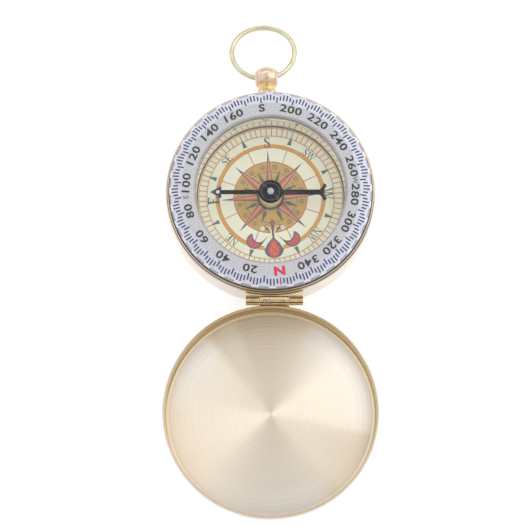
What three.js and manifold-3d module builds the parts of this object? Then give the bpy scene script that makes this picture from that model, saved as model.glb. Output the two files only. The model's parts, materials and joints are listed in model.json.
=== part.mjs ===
// Brass pocket compass with a hinged lid, a rotating graduated bezel and a bow on a ball pendant.
// Millimetres. The origin is the centre of the underside, +Z up, +Y towards the pendant, -Y towards the
// hinge. The lid is modelled fully open and the bow lying back, as the compass is laid out on a table.

import * as THREE from 'three';
import { mergeVertices } from 'three/addons/utils/BufferGeometryUtils.js';
import Module from 'manifold-3d';

const wasm = await Module();
wasm.setup();

// ---- Driving dimensions ----

const RING_SIDES = 60; // facets round the large turned pieces
const INNER_SIDES = 36; // facets round the pieces inside the capsule
const SMALL_SIDES = 20; // facets round pins, knuckles and hubs
const DOT_SIDES = 16; // facets round the jewel, the pivot and the dots
const GAP = 0.05; // clearance left between pieces that are fixed together

const CASE_R = 24.6;
const CASE_BORE_R = 23.8;
const CASE_FOOT_R = 22.9; // the flat underside
const CASE_FLOOR = 1.0;
const SHOULDER_Z = 9.95; // the lid's rim lands here
const LIP_R = 24.15; // the thin lip that the lid snaps over
const LIP_Z = 10.65;
const PAD_R = 17.5; // the rubber pad under the capsule

const LID_R = 25.0;
const LID_BORE_R = 24.3;
const LID_FOOT_R = 23.0; // the flat outside of the top
const LID_DEPTH = 4.65;
const LID_FLOOR = 0.7;
const LID_FILLET = 0.8; // between the wall and the floor inside
const LID_EDGE = 0.15; // broken edges of the rim

const HINGE_X = 0.87; // the hinge was soldered on a little to the right
const HINGE_Y = -26.1;
const HINGE_Z = 10.0;
const KNUCKLE_R = 1.12;
const KNUCKLE_BORE_R = 0.55;
const HINGE_PIN_R = 0.48;
const HINGE_HALF = 6.65; // half the hinge's length
const CENTRE_HALF = 3.4; // half the lid's knuckle
const KNUCKLE_GAP = 0.06;
const STRIP_T = 0.5; // sheet the leaves are made from
const STRIP_SOLDER = 0.1; // solder between a leaf and its wall
const STRIP_TOP_Z = 9.2;
const CASE_STRIP_Z = 6.2;
const LID_STRIP_Z = 6.9;
const WEB_Z = 8.95; // underside of the sheet that joins the knuckles to the leaves

const CAPSULE_R = 18.4;
const CAPSULE_BORE_R = 17.4;
const CAPSULE_Z = 3.4; // underside of the clear capsule
const CAPSULE_FLOOR = 0.8;
const CAPSULE_TOP_Z = 11.35;
const FLANGE_R = 22.9; // the capsule's flange under the bezel
const FLANGE_Z = 8.1;
const FLANGE_T = 0.6;

const DIAL_R = 17.3;
const DIAL_Z = 5.4; // printed face
const DIAL_CARD_T = 0.5;
const DIAL_HOLE_R = 1.0; // for the pillar's foot
const DIAL_NORTH_DEG = 3.7; // the dial's N, turned from -Y towards +X
const LUME_R = 0.57;
const LUME_T = 0.12;
const LUME_RADIUS = 7.9; // distance of the two lume dots from the pivot
const LUME_SIDE_DEG = 17.5;

const BEZEL_R = 23.3;
const BEZEL_BORE_R = 18.55;
const BEZEL_WINDOW_R = 17.65;
const BEZEL_FLAT_R = 20.9; // the face falls away outside this radius
const BEZEL_Z = 9.25;
const BEZEL_TOP_Z = 13.05;
const BEZEL_FALL = 0.6; // drop of the face at the edge
const WINDOW_BEVEL = 0.4;
const BEZEL_NORTH_DEG = 6; // the bezel's zero, turned from -Y towards +X
const BUMP_COUNT = 36; // the bumps stand between the ten-degree marks
const BUMP_R = 23.68;
const SNAP_RING_R = 18.42;
const SNAP_RING_Z = 10.55;
const SNAP_RING_GAP_DEG = 12;
const SNAP_GROOVE_HALF = 0.28;
const SNAP_GROOVE_DEPTH = 0.38;
const SNAP_WIRE_R = 0.22;
const WASHER_R = 20.8; // middle of the spring washer
const WASHER_Z = 8.98;
const WASHER_WAVE = 0.09;
const WASHER_GAP_DEG = 4;
const RING_STEPS = 40; // segments round the swept wire rings

const CRYSTAL_Z = 11.65;
const CRYSTAL_T = 0.7;

const PILLAR_R = 2.6;
const PILLAR_TOP_Z = 8.9;
const SPIGOT_R = 0.9; // the pillar's foot through the dial
const PIN_R = 0.35;
const PIN_SEAT_Z = 7.3; // bottom of the pin's hole in the pillar
const PIN_FIT = 0.06;
const PIN_TIP_Z = 10.9;

const NEEDLE_Z = 9.8; // underside of the pointer
const NEEDLE_T = 0.35;
const NEEDLE_REACH = 14.1; // pivot to arrow tip
const NEEDLE_TAIL = 13.4;
const CAP_R = 2.8;
const CAP_T = 0.55;
const CAP_GROOVE_R = 1.95;
const CAP_GROOVE_WIDTH = 0.25;
const CAP_GROOVE_DEPTH = 0.2;
const JEWEL_R = 0.85;
const JEWEL_FIT = 0.06;
const JEWEL_TOP_Z = 11.35;
const TIP_LUME_R = 0.43;
const TIP_LUME_X = 12.35;

const BALL_R = 2.85;
const BALL_Y = 29.3;
const BALL_Z = 5.4;
const BALL_BORE_R = 0.95; // the bow's hole, at its middle
const BALL_FLARE = 0.22; // widening of the hole per millimetre
const NECK_R = 1.85;
const NECK_END = 3.2; // distances from the ball's centre, towards the case
const COLLAR_TOP = 3.26;
const COLLAR_END = 4.58;
const COLLAR_BORE_R = 0.8;
const COLLAR_R = 2.65;
const SCREW_HEAD_TOP = 5.75;
const SCREW_HEAD_END = 6.4;
const SCREW_HEAD_R = 1.6;
const SCREW_TIP = 1.7;
const TAP_END = 1.6; // bottom of the tapped hole in the ball
const PENDANT_TURN_DEG = 1.9; // the pendant stands a little left of the case's centre line
const PENDANT_SCREW_R = 0.7;
const BOW_WIRE_R = 0.6;
const BOW_R = 7.5; // middle of the wire
const BOW_DROOP_DEG = 18; // below horizontal, where it meets the table
const BOW_SLIP_DEG = 4.2; // slipped round through the ball

// ---- Geometry helpers ----

const radians = THREE.MathUtils.degToRad;

// The geometry with only its positions, and shared vertices merged.
function bare(geometry) {
  const plain = new THREE.BufferGeometry();
  plain.setAttribute('position', geometry.getAttribute('position'));
  plain.setIndex(geometry.index);
  return mergeVertices(plain, 1e-4);
}

function toSolid(geometry) {
  const plain = bare(geometry);
  return new wasm.Manifold(
    new wasm.Mesh({
      numProp: 3,
      vertProperties: plain.getAttribute('position').array,
      triVerts: new Uint32Array(plain.index.array),
    }),
  );
}

function toGeometry(solid) {
  const mesh = solid.getMesh();
  const geometry = new THREE.BufferGeometry();
  geometry.setAttribute('position', new THREE.BufferAttribute(mesh.vertProperties, 3));
  geometry.setIndex(new THREE.BufferAttribute(mesh.triVerts, 1));
  geometry.computeVertexNormals();
  return geometry;
}

const join = (first, ...others) => others.reduce((a, b) => a.add(b), first);
const cut = (first, ...others) => others.reduce((a, b) => a.subtract(b), first);

// A solid of revolution about Z from [radius, z] points, anticlockwise in the radius-z plane. A profile
// that starts off the axis is closed into a ring.
function turned(points, sides) {
  const profile = points.map(([r, z]) => new THREE.Vector2(r, z));
  if (points[0][0] > 0) profile.push(profile[0].clone());
  return new THREE.LatheGeometry(profile, sides).rotateX(Math.PI / 2);
}

const disc = (r, z0, z1, sides) => turned([[0, z0], [r, z0], [r, z1], [0, z1]], sides);

const washer = (bore, r, z0, z1, sides) =>
  turned([[bore, z0], [r, z0], [r, z1], [bore, z1]], sides);

// Turn a Z-axis piece onto the X axis (z becomes x) or the Y axis (z becomes y).
const alongX = (geometry) => geometry.rotateY(Math.PI / 2);
const alongY = (geometry) => geometry.rotateX(-Math.PI / 2);

// A flat outline of [x, y] points raised from z0 to z1.
function plate(outline, z0, z1, holeRadius = 0) {
  const shape = new THREE.Shape(outline.map(([x, y]) => new THREE.Vector2(x, y)));
  if (holeRadius > 0) {
    shape.holes.push(new THREE.Path().absarc(0, 0, holeRadius, 0, 2 * Math.PI, true));
  }
  const options = { depth: z1 - z0, bevelEnabled: false, curveSegments: SMALL_SIDES };
  return new THREE.ExtrudeGeometry(shape, options).translate(0, 0, z0);
}

// A box given by its lowest and highest corners.
function block([x0, y0, z0], [x1, y1, z1]) {
  const box = new THREE.BoxGeometry(x1 - x0, y1 - y0, z1 - z0);
  return box.translate((x0 + x1) / 2, (y0 + y1) / 2, (z0 + z1) / 2);
}

// The middle line of a ring with a small gap in it, rising and falling in waves.
class SplitRing extends THREE.Curve {
  constructor(radius, gapDeg, wave, waves) {
    super();
    Object.assign(this, { radius, gapDeg, wave, waves });
  }

  getPoint(t, target = new THREE.Vector3()) {
    const angle = radians(this.gapDeg / 2 + t * (360 - this.gapDeg));
    const z = this.wave * Math.sin(this.waves * angle);
    return target.set(this.radius * Math.cos(angle), this.radius * Math.sin(angle), z);
  }
}

// A section of [z, radial] points carried along a curve.
function sweptRing(curve, section) {
  const shape = new THREE.Shape(section.map(([z, r]) => new THREE.Vector2(z, r)));
  const options = { steps: RING_STEPS, extrudePath: curve, bevelEnabled: false };
  return new THREE.ExtrudeGeometry(shape, options);
}

// ---- Materials ----

const metal = (color, roughness) =>
  new THREE.MeshStandardMaterial({ color, roughness, metalness: 1.0 });
const plastic = (color, roughness, opacity = 1.0) =>
  new THREE.MeshStandardMaterial({
    color,
    roughness,
    metalness: 0.0,
    opacity,
    transparent: opacity < 1.0,
  });

const brass = () => metal(0xc9a86a, 0.25);
const paleBrass = () => metal(0xdcd09a, 0.3);
const steel = () => metal(0xb8babd, 0.3);
const blackSteel = () => metal(0x1c1c26, 0.35);

// ---- Assembly ----

const compass = new THREE.Group();

function part(name, geometry, material, parent = compass) {
  const mesh = new THREE.Mesh(geometry, material);
  mesh.name = name;
  parent.add(mesh);
}

// Case: a shallow turned cup with a thin lip for the lid, drilled for the pendant's screw.
function caseShell() {
  const cup = turned(
    [
      [0, 0],
      [CASE_FOOT_R, 0],
      [CASE_R - 0.8, 0.25],
      [CASE_R - 0.2, 0.9],
      [CASE_R, 1.8],
      [CASE_R, SHOULDER_Z],
      [LIP_R, SHOULDER_Z],
      [LIP_R, LIP_Z],
      [CASE_BORE_R, LIP_Z],
      [CASE_BORE_R, CASE_FLOOR + 0.6],
      [CASE_BORE_R - 0.6, CASE_FLOOR],
      [0, CASE_FLOOR],
    ],
    RING_SIDES,
  );
  const drill = alongY(disc(PENDANT_SCREW_R + 0.15, CASE_BORE_R - 1, CASE_R + 1, SMALL_SIDES));
  const hole = drill.translate(0, 0, BALL_Z).rotateZ(radians(PENDANT_TURN_DEG));
  return toGeometry(cut(toSolid(cup), toSolid(hole)));
}

part('case_shell', caseShell(), brass());
const pad = disc(PAD_R, CASE_FLOOR + GAP, CAPSULE_Z - GAP, INNER_SIDES);
part('base_pad', pad, plastic(0x2b2a28, 0.9));

// Hinge: rolled knuckles on leaves of sheet, each leaf hugging the round wall it is soldered to.
const onHingeAxis = (geometry) => alongX(geometry).translate(HINGE_X, HINGE_Y, HINGE_Z);

const knuckle = (x0, x1) => onHingeAxis(washer(KNUCKLE_BORE_R, KNUCKLE_R, x0, x1, SMALL_SIDES));

const hingeBore = () =>
  toSolid(onHingeAxis(disc(KNUCKLE_BORE_R, -HINGE_HALF - 1, HINGE_HALF + 1, SMALL_SIDES)));

// A wall and its solder, as a solid cylinder round the vertical line at the given y.
const wallAt = (y, wallR, thickness = 0) =>
  toSolid(disc(wallR + STRIP_SOLDER + thickness, 0, HINGE_Z + 1, RING_SIDES).translate(0, y, 0));

// A leaf of sheet round the wall of radius wallR at wallY, on the side where the hinge is.
function leaf(wallR, wallY, half, z0) {
  const side = Math.sign(HINGE_Y - wallY);
  const reach = [wallY + side * (wallR - 1.5), wallY + side * (wallR + 1)];
  const low = [HINGE_X - half, Math.min(...reach), z0];
  const high = [HINGE_X + half, Math.max(...reach), STRIP_TOP_Z];
  const sheet = toSolid(block(low, high)).intersect(wallAt(wallY, wallR, STRIP_T));
  return cut(sheet, wallAt(wallY, wallR));
}

// A knuckle from x0 to x1 along the hinge, and the web that joins it to its leaf towards y, clear of the
// wall.
function knuckleOnWeb(x0, x1, y, wallR, wallY) {
  const low = [HINGE_X + x0, Math.min(y, HINGE_Y), WEB_Z];
  const high = [HINGE_X + x1, Math.max(y, HINGE_Y), WEB_Z + STRIP_T];
  return cut(toSolid(knuckle(x0, x1)).add(toSolid(block(low, high))), wallAt(wallY, wallR));
}

function caseHingeLeaf() {
  const near = CENTRE_HALF + KNUCKLE_GAP;
  const webEnd = HINGE_Y + 2.6;
  const arms = [
    knuckleOnWeb(-HINGE_HALF, -near, webEnd, CASE_R, 0),
    knuckleOnWeb(near, HINGE_HALF, webEnd, CASE_R, 0),
  ];
  return toGeometry(cut(join(leaf(CASE_R, 0, HINGE_HALF, CASE_STRIP_Z), ...arms), hingeBore()));
}

function lidHingeLeaf() {
  const wallY = 2 * HINGE_Y;
  const arm = knuckleOnWeb(-CENTRE_HALF, CENTRE_HALF, HINGE_Y - 1.2, LID_R, wallY);
  return toGeometry(cut(leaf(LID_R, wallY, CENTRE_HALF, LID_STRIP_Z).add(arm), hingeBore()));
}

part('case_hinge_leaf', caseHingeLeaf(), brass());
part('lid_hinge_leaf', lidHingeLeaf(), brass());
part('hinge_pin', onHingeAxis(disc(HINGE_PIN_R, -HINGE_HALF, HINGE_HALF, SMALL_SIDES)), steel());

// Pendant: a ball on a neck, cross-drilled for the bow, on a flared collar, held by a screw from inside.
function pendantBall() {
  const neckAngle = Math.asin(NECK_R / BALL_R);
  const steps = 10;
  const arc = Array.from({ length: steps + 1 }, (_, step) => {
    const angle = neckAngle + ((Math.PI - neckAngle) * step) / steps;
    return [Math.max(0, BALL_R * Math.sin(angle)), -BALL_R * Math.cos(angle)];
  });
  const tapR = PENDANT_SCREW_R + 0.06;
  const foot = [[0, -TAP_END], [tapR, -TAP_END], [tapR, -NECK_END], [NECK_R + 0.05, -NECK_END]];
  const waist = [NECK_R, -NECK_END + 0.35];
  const ball = toSolid(alongY(turned([...foot, waist, ...arc], SMALL_SIDES)));
  const half = BALL_R + 0.15;
  const mouthR = BALL_BORE_R + BALL_FLARE * half;
  const drill = [[0, -half], [mouthR, -half], [BALL_BORE_R, 0], [mouthR, half], [0, half]];
  return toGeometry(cut(ball, toSolid(alongX(turned(drill, SMALL_SIDES)))));
}

const collarProfile = [
  [COLLAR_BORE_R, -COLLAR_END],
  [COLLAR_R, -COLLAR_END],
  [COLLAR_R - 0.15, -COLLAR_END + 0.25],
  [NECK_R + 0.25, -COLLAR_TOP - 0.45],
  [NECK_R + 0.05, -COLLAR_TOP],
  [COLLAR_BORE_R, -COLLAR_TOP],
];

const screwProfile = [
  [0, -SCREW_HEAD_END],
  [SCREW_HEAD_R, -SCREW_HEAD_END],
  [SCREW_HEAD_R, -SCREW_HEAD_TOP],
  [PENDANT_SCREW_R, -SCREW_HEAD_TOP],
  [PENDANT_SCREW_R, -SCREW_TIP],
  [0, -SCREW_TIP],
];

const pendantSide = new THREE.Group();
pendantSide.rotation.z = radians(PENDANT_TURN_DEG);
compass.add(pendantSide);
const pendant = new THREE.Group();
pendant.position.set(0, BALL_Y, BALL_Z);
pendantSide.add(pendant);
part('pendant_ball', pendantBall(), brass(), pendant);
part('pendant_collar', alongY(turned(collarProfile, SMALL_SIDES)), brass(), pendant);
part('pendant_screw', alongY(turned(screwProfile, SMALL_SIDES)), steel(), pendant);

// Bow: a closed wire ring through the ball, lying back on the table.
const bow = new THREE.Group();
bow.rotation.x = radians(-BOW_DROOP_DEG);
pendant.add(bow);
const bowRing = new THREE.TorusGeometry(BOW_R, BOW_WIRE_R, 8, INNER_SIDES).translate(0, BOW_R, 0);
part('bow_ring', bowRing.rotateZ(radians(BOW_SLIP_DEG)), paleBrass(), bow);

// Capsule: a clear moulded cup with a flange under the bezel and a groove for the snap ring.
part(
  'capsule_cup',
  turned(
    [
      [0, CAPSULE_Z],
      [CAPSULE_R, CAPSULE_Z],
      [CAPSULE_R, FLANGE_Z],
      [FLANGE_R, FLANGE_Z],
      [FLANGE_R, FLANGE_Z + FLANGE_T],
      [CAPSULE_R, FLANGE_Z + FLANGE_T],
      [CAPSULE_R, SNAP_RING_Z - SNAP_GROOVE_HALF],
      [CAPSULE_R - 0.4, SNAP_RING_Z - SNAP_GROOVE_HALF],
      [CAPSULE_R - 0.4, SNAP_RING_Z + SNAP_GROOVE_HALF],
      [CAPSULE_R, SNAP_RING_Z + SNAP_GROOVE_HALF],
      [CAPSULE_R, CAPSULE_TOP_Z],
      [CAPSULE_BORE_R, CAPSULE_TOP_Z],
      [CAPSULE_BORE_R, CAPSULE_Z + CAPSULE_FLOOR],
      [0, CAPSULE_Z + CAPSULE_FLOOR],
    ],
    INNER_SIDES,
  ),
  plastic(0xe8ebee, 0.08, 0.35),
);
const DIAL_PLATE_Z = CAPSULE_Z + CAPSULE_FLOOR + GAP;
const DIAL_CARD_Z = DIAL_Z - DIAL_CARD_T;
part(
  'dial_base_plate',
  washer(DIAL_HOLE_R, DIAL_R, DIAL_PLATE_Z, DIAL_CARD_Z - GAP, INNER_SIDES),
  metal(0xb9a873, 0.45),
);
part(
  'dial_card',
  washer(DIAL_HOLE_R, DIAL_R, DIAL_CARD_Z, DIAL_Z, INNER_SIDES),
  plastic(0xf0efcd, 0.6),
);
for (const [side, turn] of [['left', -LUME_SIDE_DEG], ['right', LUME_SIDE_DEG]]) {
  const angle = radians(DIAL_NORTH_DEG + turn - 90);
  const dot = disc(LUME_R, DIAL_Z + 0.02, DIAL_Z + 0.02 + LUME_T, DOT_SIDES);
  dot.translate(LUME_RADIUS * Math.cos(angle), LUME_RADIUS * Math.sin(angle), 0);
  part('dial_lume_dot_' + side, dot, plastic(0xeef2ea, 0.5));
}
part(
  'crystal_gasket',
  washer(CAPSULE_BORE_R + 0.1, CAPSULE_R - GAP, CAPSULE_TOP_Z + 0.03, CRYSTAL_Z - 0.03, INNER_SIDES),
  plastic(0x2a2a2c, 0.8),
);
part(
  'crystal',
  disc(CAPSULE_R - GAP, CRYSTAL_Z, CRYSTAL_Z + CRYSTAL_T, INNER_SIDES),
  plastic(0xf4f7fa, 0.02, 0.25),
);

// Pivot: a turned brass pillar riveted through the dial, with a hardened steel point.
part(
  'pivot_pillar',
  turned(
    [
      [0, DIAL_PLATE_Z],
      [SPIGOT_R, DIAL_PLATE_Z],
      [SPIGOT_R, DIAL_Z + GAP],
      [PILLAR_R, DIAL_Z + GAP],
      [PILLAR_R, PILLAR_TOP_Z - 0.2],
      [PILLAR_R - 0.2, PILLAR_TOP_Z],
      [PIN_R + PIN_FIT, PILLAR_TOP_Z],
      [PIN_R + PIN_FIT, PIN_SEAT_Z],
      [0, PIN_SEAT_Z],
    ],
    SMALL_SIDES,
  ),
  metal(0xebe1a5, 0.3),
);
const pinFoot = PIN_SEAT_Z + PIN_FIT;
const pinProfile = [
  [0, pinFoot],
  [PIN_R, pinFoot],
  [PIN_R, NEEDLE_Z + 0.1],
  [0.04, PIN_TIP_Z],
  [0, PIN_TIP_Z],
];
part('pivot_pin', turned(pinProfile, DOT_SIDES), steel());

// Needle: a flat magnetised steel pointer between a brass hub and a black cap, on a jewel bearing.
function pointerOutline() {
  const half = [
    [NEEDLE_REACH, 0],
    [11.6, 1.5],
    [11.55, 0.48],
    [2.6, 0.5],
    [1.85, 1.85],
    [0, 2.6],
    [-1.85, 1.85],
    [-2.6, 0.58],
    [-11.0, 0.6],
    [-11.6, 0.75],
    [-12.1, 1.35],
    [-12.5, 2.0],
    [-13.2, 2.05],
    [-NEEDLE_TAIL, 1.55],
    [-13.0, 0.75],
    [-12.8, 0],
  ];
  const mirrored = half.slice(1, -1).reverse();
  return [...half, ...mirrored.map(([x, y]) => [x, -y])];
}

const needle = new THREE.Group();
needle.rotation.z = Math.PI; // the arrow points towards -X
compass.add(needle);
const HUB_BORE_R = JEWEL_R + 0.25;
part(
  'needle_hub',
  washer(HUB_BORE_R, PILLAR_R, PILLAR_TOP_Z + 0.2, NEEDLE_Z - GAP, SMALL_SIDES),
  metal(0xebe1a5, 0.3),
  needle,
);
part(
  'needle_pointer',
  plate(pointerOutline(), NEEDLE_Z, NEEDLE_Z + NEEDLE_T, HUB_BORE_R),
  blackSteel(),
  needle,
);
const CAP_Z = NEEDLE_Z + NEEDLE_T + GAP;
const capTop = CAP_Z + CAP_T;
const capGroove = capTop - CAP_GROOVE_DEPTH;
const capProfile = [
  [JEWEL_R + JEWEL_FIT, CAP_Z],
  [CAP_R, CAP_Z],
  [CAP_R, capTop - 0.15],
  [CAP_R - 0.15, capTop],
  [CAP_GROOVE_R + CAP_GROOVE_WIDTH, capTop],
  [CAP_GROOVE_R + CAP_GROOVE_WIDTH, capGroove],
  [CAP_GROOVE_R, capGroove],
  [CAP_GROOVE_R, capTop],
  [JEWEL_R + JEWEL_FIT, capTop],
];
part('needle_cap', turned(capProfile, SMALL_SIDES), blackSteel(), needle);
const jewelProfile = [
  [0, PIN_TIP_Z + 0.1],
  [0.62, NEEDLE_Z],
  [JEWEL_R, NEEDLE_Z],
  [JEWEL_R, JEWEL_TOP_Z - 0.4],
  [0.6, JEWEL_TOP_Z - 0.1],
  [0, JEWEL_TOP_Z],
];
part('needle_jewel', turned(jewelProfile, DOT_SIDES), plastic(0xaaafbe, 0.15), needle);
const tipLumeZ = NEEDLE_Z + NEEDLE_T + 0.02;
const tipLume = disc(TIP_LUME_R, tipLumeZ, tipLumeZ + 0.1, DOT_SIDES).translate(TIP_LUME_X, 0, 0);
part('needle_tip_lume', tipLume, plastic(0xdfe6ec, 0.5), needle);

// Bezel: a moulded ring with 36 grip bumps, turning on the capsule over a spring washer.
function bezelRing() {
  const grooveLow = SNAP_RING_Z - SNAP_GROOVE_HALF;
  const grooveHigh = SNAP_RING_Z + SNAP_GROOVE_HALF;
  const ring = turned(
    [
      [BEZEL_BORE_R, BEZEL_Z],
      [BEZEL_R, BEZEL_Z],
      [BEZEL_R, BEZEL_TOP_Z - BEZEL_FALL],
      [BEZEL_FLAT_R, BEZEL_TOP_Z],
      [BEZEL_WINDOW_R + WINDOW_BEVEL, BEZEL_TOP_Z],
      [BEZEL_WINDOW_R, BEZEL_TOP_Z - WINDOW_BEVEL],
      [BEZEL_WINDOW_R, CRYSTAL_Z + CRYSTAL_T + 0.1],
      [BEZEL_BORE_R, CRYSTAL_Z + CRYSTAL_T + 0.1],
      [BEZEL_BORE_R, grooveHigh],
      [BEZEL_BORE_R + SNAP_GROOVE_DEPTH, grooveHigh],
      [BEZEL_BORE_R + SNAP_GROOVE_DEPTH, grooveLow],
      [BEZEL_BORE_R, grooveLow],
    ],
    RING_SIDES,
  );
  const pitch = 360 / BUMP_COUNT;
  const rootR = BEZEL_R - 0.4;
  const sideR = BEZEL_R + 0.05;
  const corners = [[rootR, -2.5], [sideR, -2.4], [BUMP_R, -1.5], [BUMP_R, 1.5], [sideR, 2.4], [rootR, 2.5]];
  const outline = corners.map(([r, deg]) => [r * Math.cos(radians(deg)), r * Math.sin(radians(deg))]);
  const bumps = Array.from({ length: BUMP_COUNT }, (_, index) => {
    const bump = plate(outline, BEZEL_Z + 0.1, BEZEL_TOP_Z - BEZEL_FALL - 0.1);
    return toSolid(bump.rotateZ(radians((index + 0.5) * pitch + BEZEL_NORTH_DEG)));
  });
  return toGeometry(join(toSolid(ring), ...bumps));
}

part('bezel_ring', bezelRing(), plastic(0xd0d2da, 0.2));

const band = [[-0.11, -1.2], [0.11, -1.2], [0.11, 1.2], [-0.11, 1.2]];
const washerLine = new SplitRing(WASHER_R, WASHER_GAP_DEG, WASHER_WAVE, 4);
part('bezel_spring_washer', sweptRing(washerLine, band).translate(0, 0, WASHER_Z), steel());
const wire = Array.from({ length: 6 }, (_, index) => {
  const angle = (index * Math.PI) / 3;
  return [SNAP_WIRE_R * Math.cos(angle), SNAP_WIRE_R * Math.sin(angle)];
});
const snapLine = new SplitRing(SNAP_RING_R, SNAP_RING_GAP_DEG, 0, 0);
part('bezel_snap_ring', sweptRing(snapLine, wire).translate(0, 0, SNAP_RING_Z), steel());

// Lid: a turned cup, open by half a turn about the hinge, so that its inside faces up.
const lid = new THREE.Group();
lid.position.set(0, 2 * HINGE_Y, SHOULDER_Z - LID_DEPTH);
compass.add(lid);
const lidProfile = [
  [0, 0],
  [LID_FOOT_R, 0],
  [LID_R - 0.9, 0.3],
  [LID_R - 0.25, 0.95],
  [LID_R, 1.8],
  [LID_R, LID_DEPTH - LID_EDGE],
  [LID_R - LID_EDGE, LID_DEPTH],
  [LID_BORE_R + LID_EDGE, LID_DEPTH],
  [LID_BORE_R, LID_DEPTH - LID_EDGE],
  [LID_BORE_R, LID_FLOOR + LID_FILLET],
  [LID_BORE_R - LID_FILLET, LID_FLOOR],
  [0, LID_FLOOR],
];
part('lid_shell', turned(lidProfile, RING_SIDES), brass(), lid);

export default compass;
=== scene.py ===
"""Looks for a brass pocket compass with a hinged lid, a graduated bezel and a bow on a ball pendant.

Every piece is drawn in millimetres in the CAD frame and made in metres. Z is up, and -Y is the
lid's side.
"""

import json
import math

import bmesh
import bpy
from mathutils import Matrix, Vector, noise


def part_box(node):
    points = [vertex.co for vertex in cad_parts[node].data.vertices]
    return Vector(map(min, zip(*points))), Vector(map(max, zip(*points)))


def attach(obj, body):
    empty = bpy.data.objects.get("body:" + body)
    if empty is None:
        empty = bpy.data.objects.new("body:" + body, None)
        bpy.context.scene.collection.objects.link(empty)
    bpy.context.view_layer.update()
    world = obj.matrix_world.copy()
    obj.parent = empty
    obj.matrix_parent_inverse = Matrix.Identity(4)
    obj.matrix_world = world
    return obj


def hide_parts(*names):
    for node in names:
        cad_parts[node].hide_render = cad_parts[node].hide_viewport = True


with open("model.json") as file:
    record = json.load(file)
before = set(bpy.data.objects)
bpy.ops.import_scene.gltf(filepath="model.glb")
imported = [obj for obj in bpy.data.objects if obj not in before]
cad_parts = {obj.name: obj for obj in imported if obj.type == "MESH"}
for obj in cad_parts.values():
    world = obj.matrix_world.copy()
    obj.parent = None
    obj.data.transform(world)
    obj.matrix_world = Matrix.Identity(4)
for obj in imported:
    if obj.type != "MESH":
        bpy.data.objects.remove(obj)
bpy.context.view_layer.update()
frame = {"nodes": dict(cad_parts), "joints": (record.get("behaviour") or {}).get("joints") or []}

MM = 0.001
JOINTS = {joint["name"]: joint for joint in frame["joints"]}


def span(node):
    """The lowest and highest corner of a CAD node, in millimetres."""
    low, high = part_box(node)
    return low / MM, high / MM


def joint_place(name):
    return Vector(JOINTS[name]["pos_m"]) / MM


# ---- Driving dimensions, in millimetres, from the frame ----

case_high = span("case_shell")[1]
CASE_R = case_high.x
LIP_Z = case_high.z
LIP_R = CASE_R - 0.45
CASE_BORE_R = CASE_R - 0.8
CASE_FLOOR = 1.0

lid_low, lid_high = span("lid_shell")
LID_R = lid_high.x
LID_CENTRE = Vector((0, (lid_low.y + lid_high.y) / 2, lid_low.z))
LID_DEPTH = lid_high.z - lid_low.z
LID_BORE_R = LID_R - 0.7
LID_FLOOR = 0.7
SPUN_T = 0.1  # thickness of the brushed disc
SHOULDER_Z = lid_high.z

HINGE = joint_place("lid_hinge")
HINGE_HALF = span("hinge_pin")[1].x - HINGE.x
CENTRE_HALF = span("lid_hinge_leaf")[1].x - HINGE.x
KNUCKLE_R = span("case_hinge_leaf")[1].z - HINGE.z
KNUCKLE_BORE_R = 0.55
KNUCKLE_GAP = 0.07

capsule_low, capsule_high = span("capsule_cup")
CAPSULE_R = span("crystal")[1].x + 0.05
CAPSULE_BORE_R = CAPSULE_R - 1.0
FLANGE_R = capsule_high.x
FLANGE_Z = 8.1
FLANGE_T = 0.6
CAPSULE_FLOOR_T = 0.8

dial_low, dial_high = span("dial_card")
DIAL_R = dial_high.x
DIAL_Z = dial_high.z
DIAL_NORTH_DEG = 3.7  # the dial's N, turned from -Y towards +X

bezel_low, bezel_high = span("bezel_ring")
BEZEL_Z = bezel_low.z
BEZEL_TOP_Z = bezel_high.z
BUMP_R = bezel_high.x
BEZEL_R = BUMP_R - 0.38
BEZEL_BORE_R = CAPSULE_R + 0.15
BEZEL_WINDOW_R = CAPSULE_BORE_R + 0.25
BEZEL_NORTH_DEG = 6.0  # the bezel's zero, turned from -Y towards +X
SLOPE_START_R = 20.9  # the bezel's face is flat inside this radius
SLOPE = 0.6 / 2.1  # fall per millimetre outside it
SNAP_Z = sum(corner.z for corner in span("bezel_snap_ring")) / 2
GROOVE_HALF = 0.28  # the snap ring's grooves reach this far above and below it

PILLAR_LOW, PILLAR_HIGH = span("pivot_pillar")
POINTER_LOW, POINTER_HIGH = span("needle_pointer")
CAP_LOW, CAP_HIGH = span("needle_cap")
BALL = joint_place("bow_swivel")
BALL_R = span("pendant_ball")[1].z - BALL.z
PENDANT_TURN = Matrix.Rotation(math.atan2(-BALL.x, BALL.y), 4, "Z")
BOW_R = 7.5
BOW_WIRE_R = 0.6
BOW_DROOP_DEG = 18.0
BOW_SLIP_DEG = 4.2


def bezel_surface(x, y):
    """Height of the bezel's face above a point."""
    return BEZEL_TOP_Z - max(0.0, math.hypot(x, y) - SLOPE_START_R) * SLOPE


BEZEL_EDGE_Z = bezel_surface(BUMP_R, 0)


# ---- Node trees ----


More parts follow.
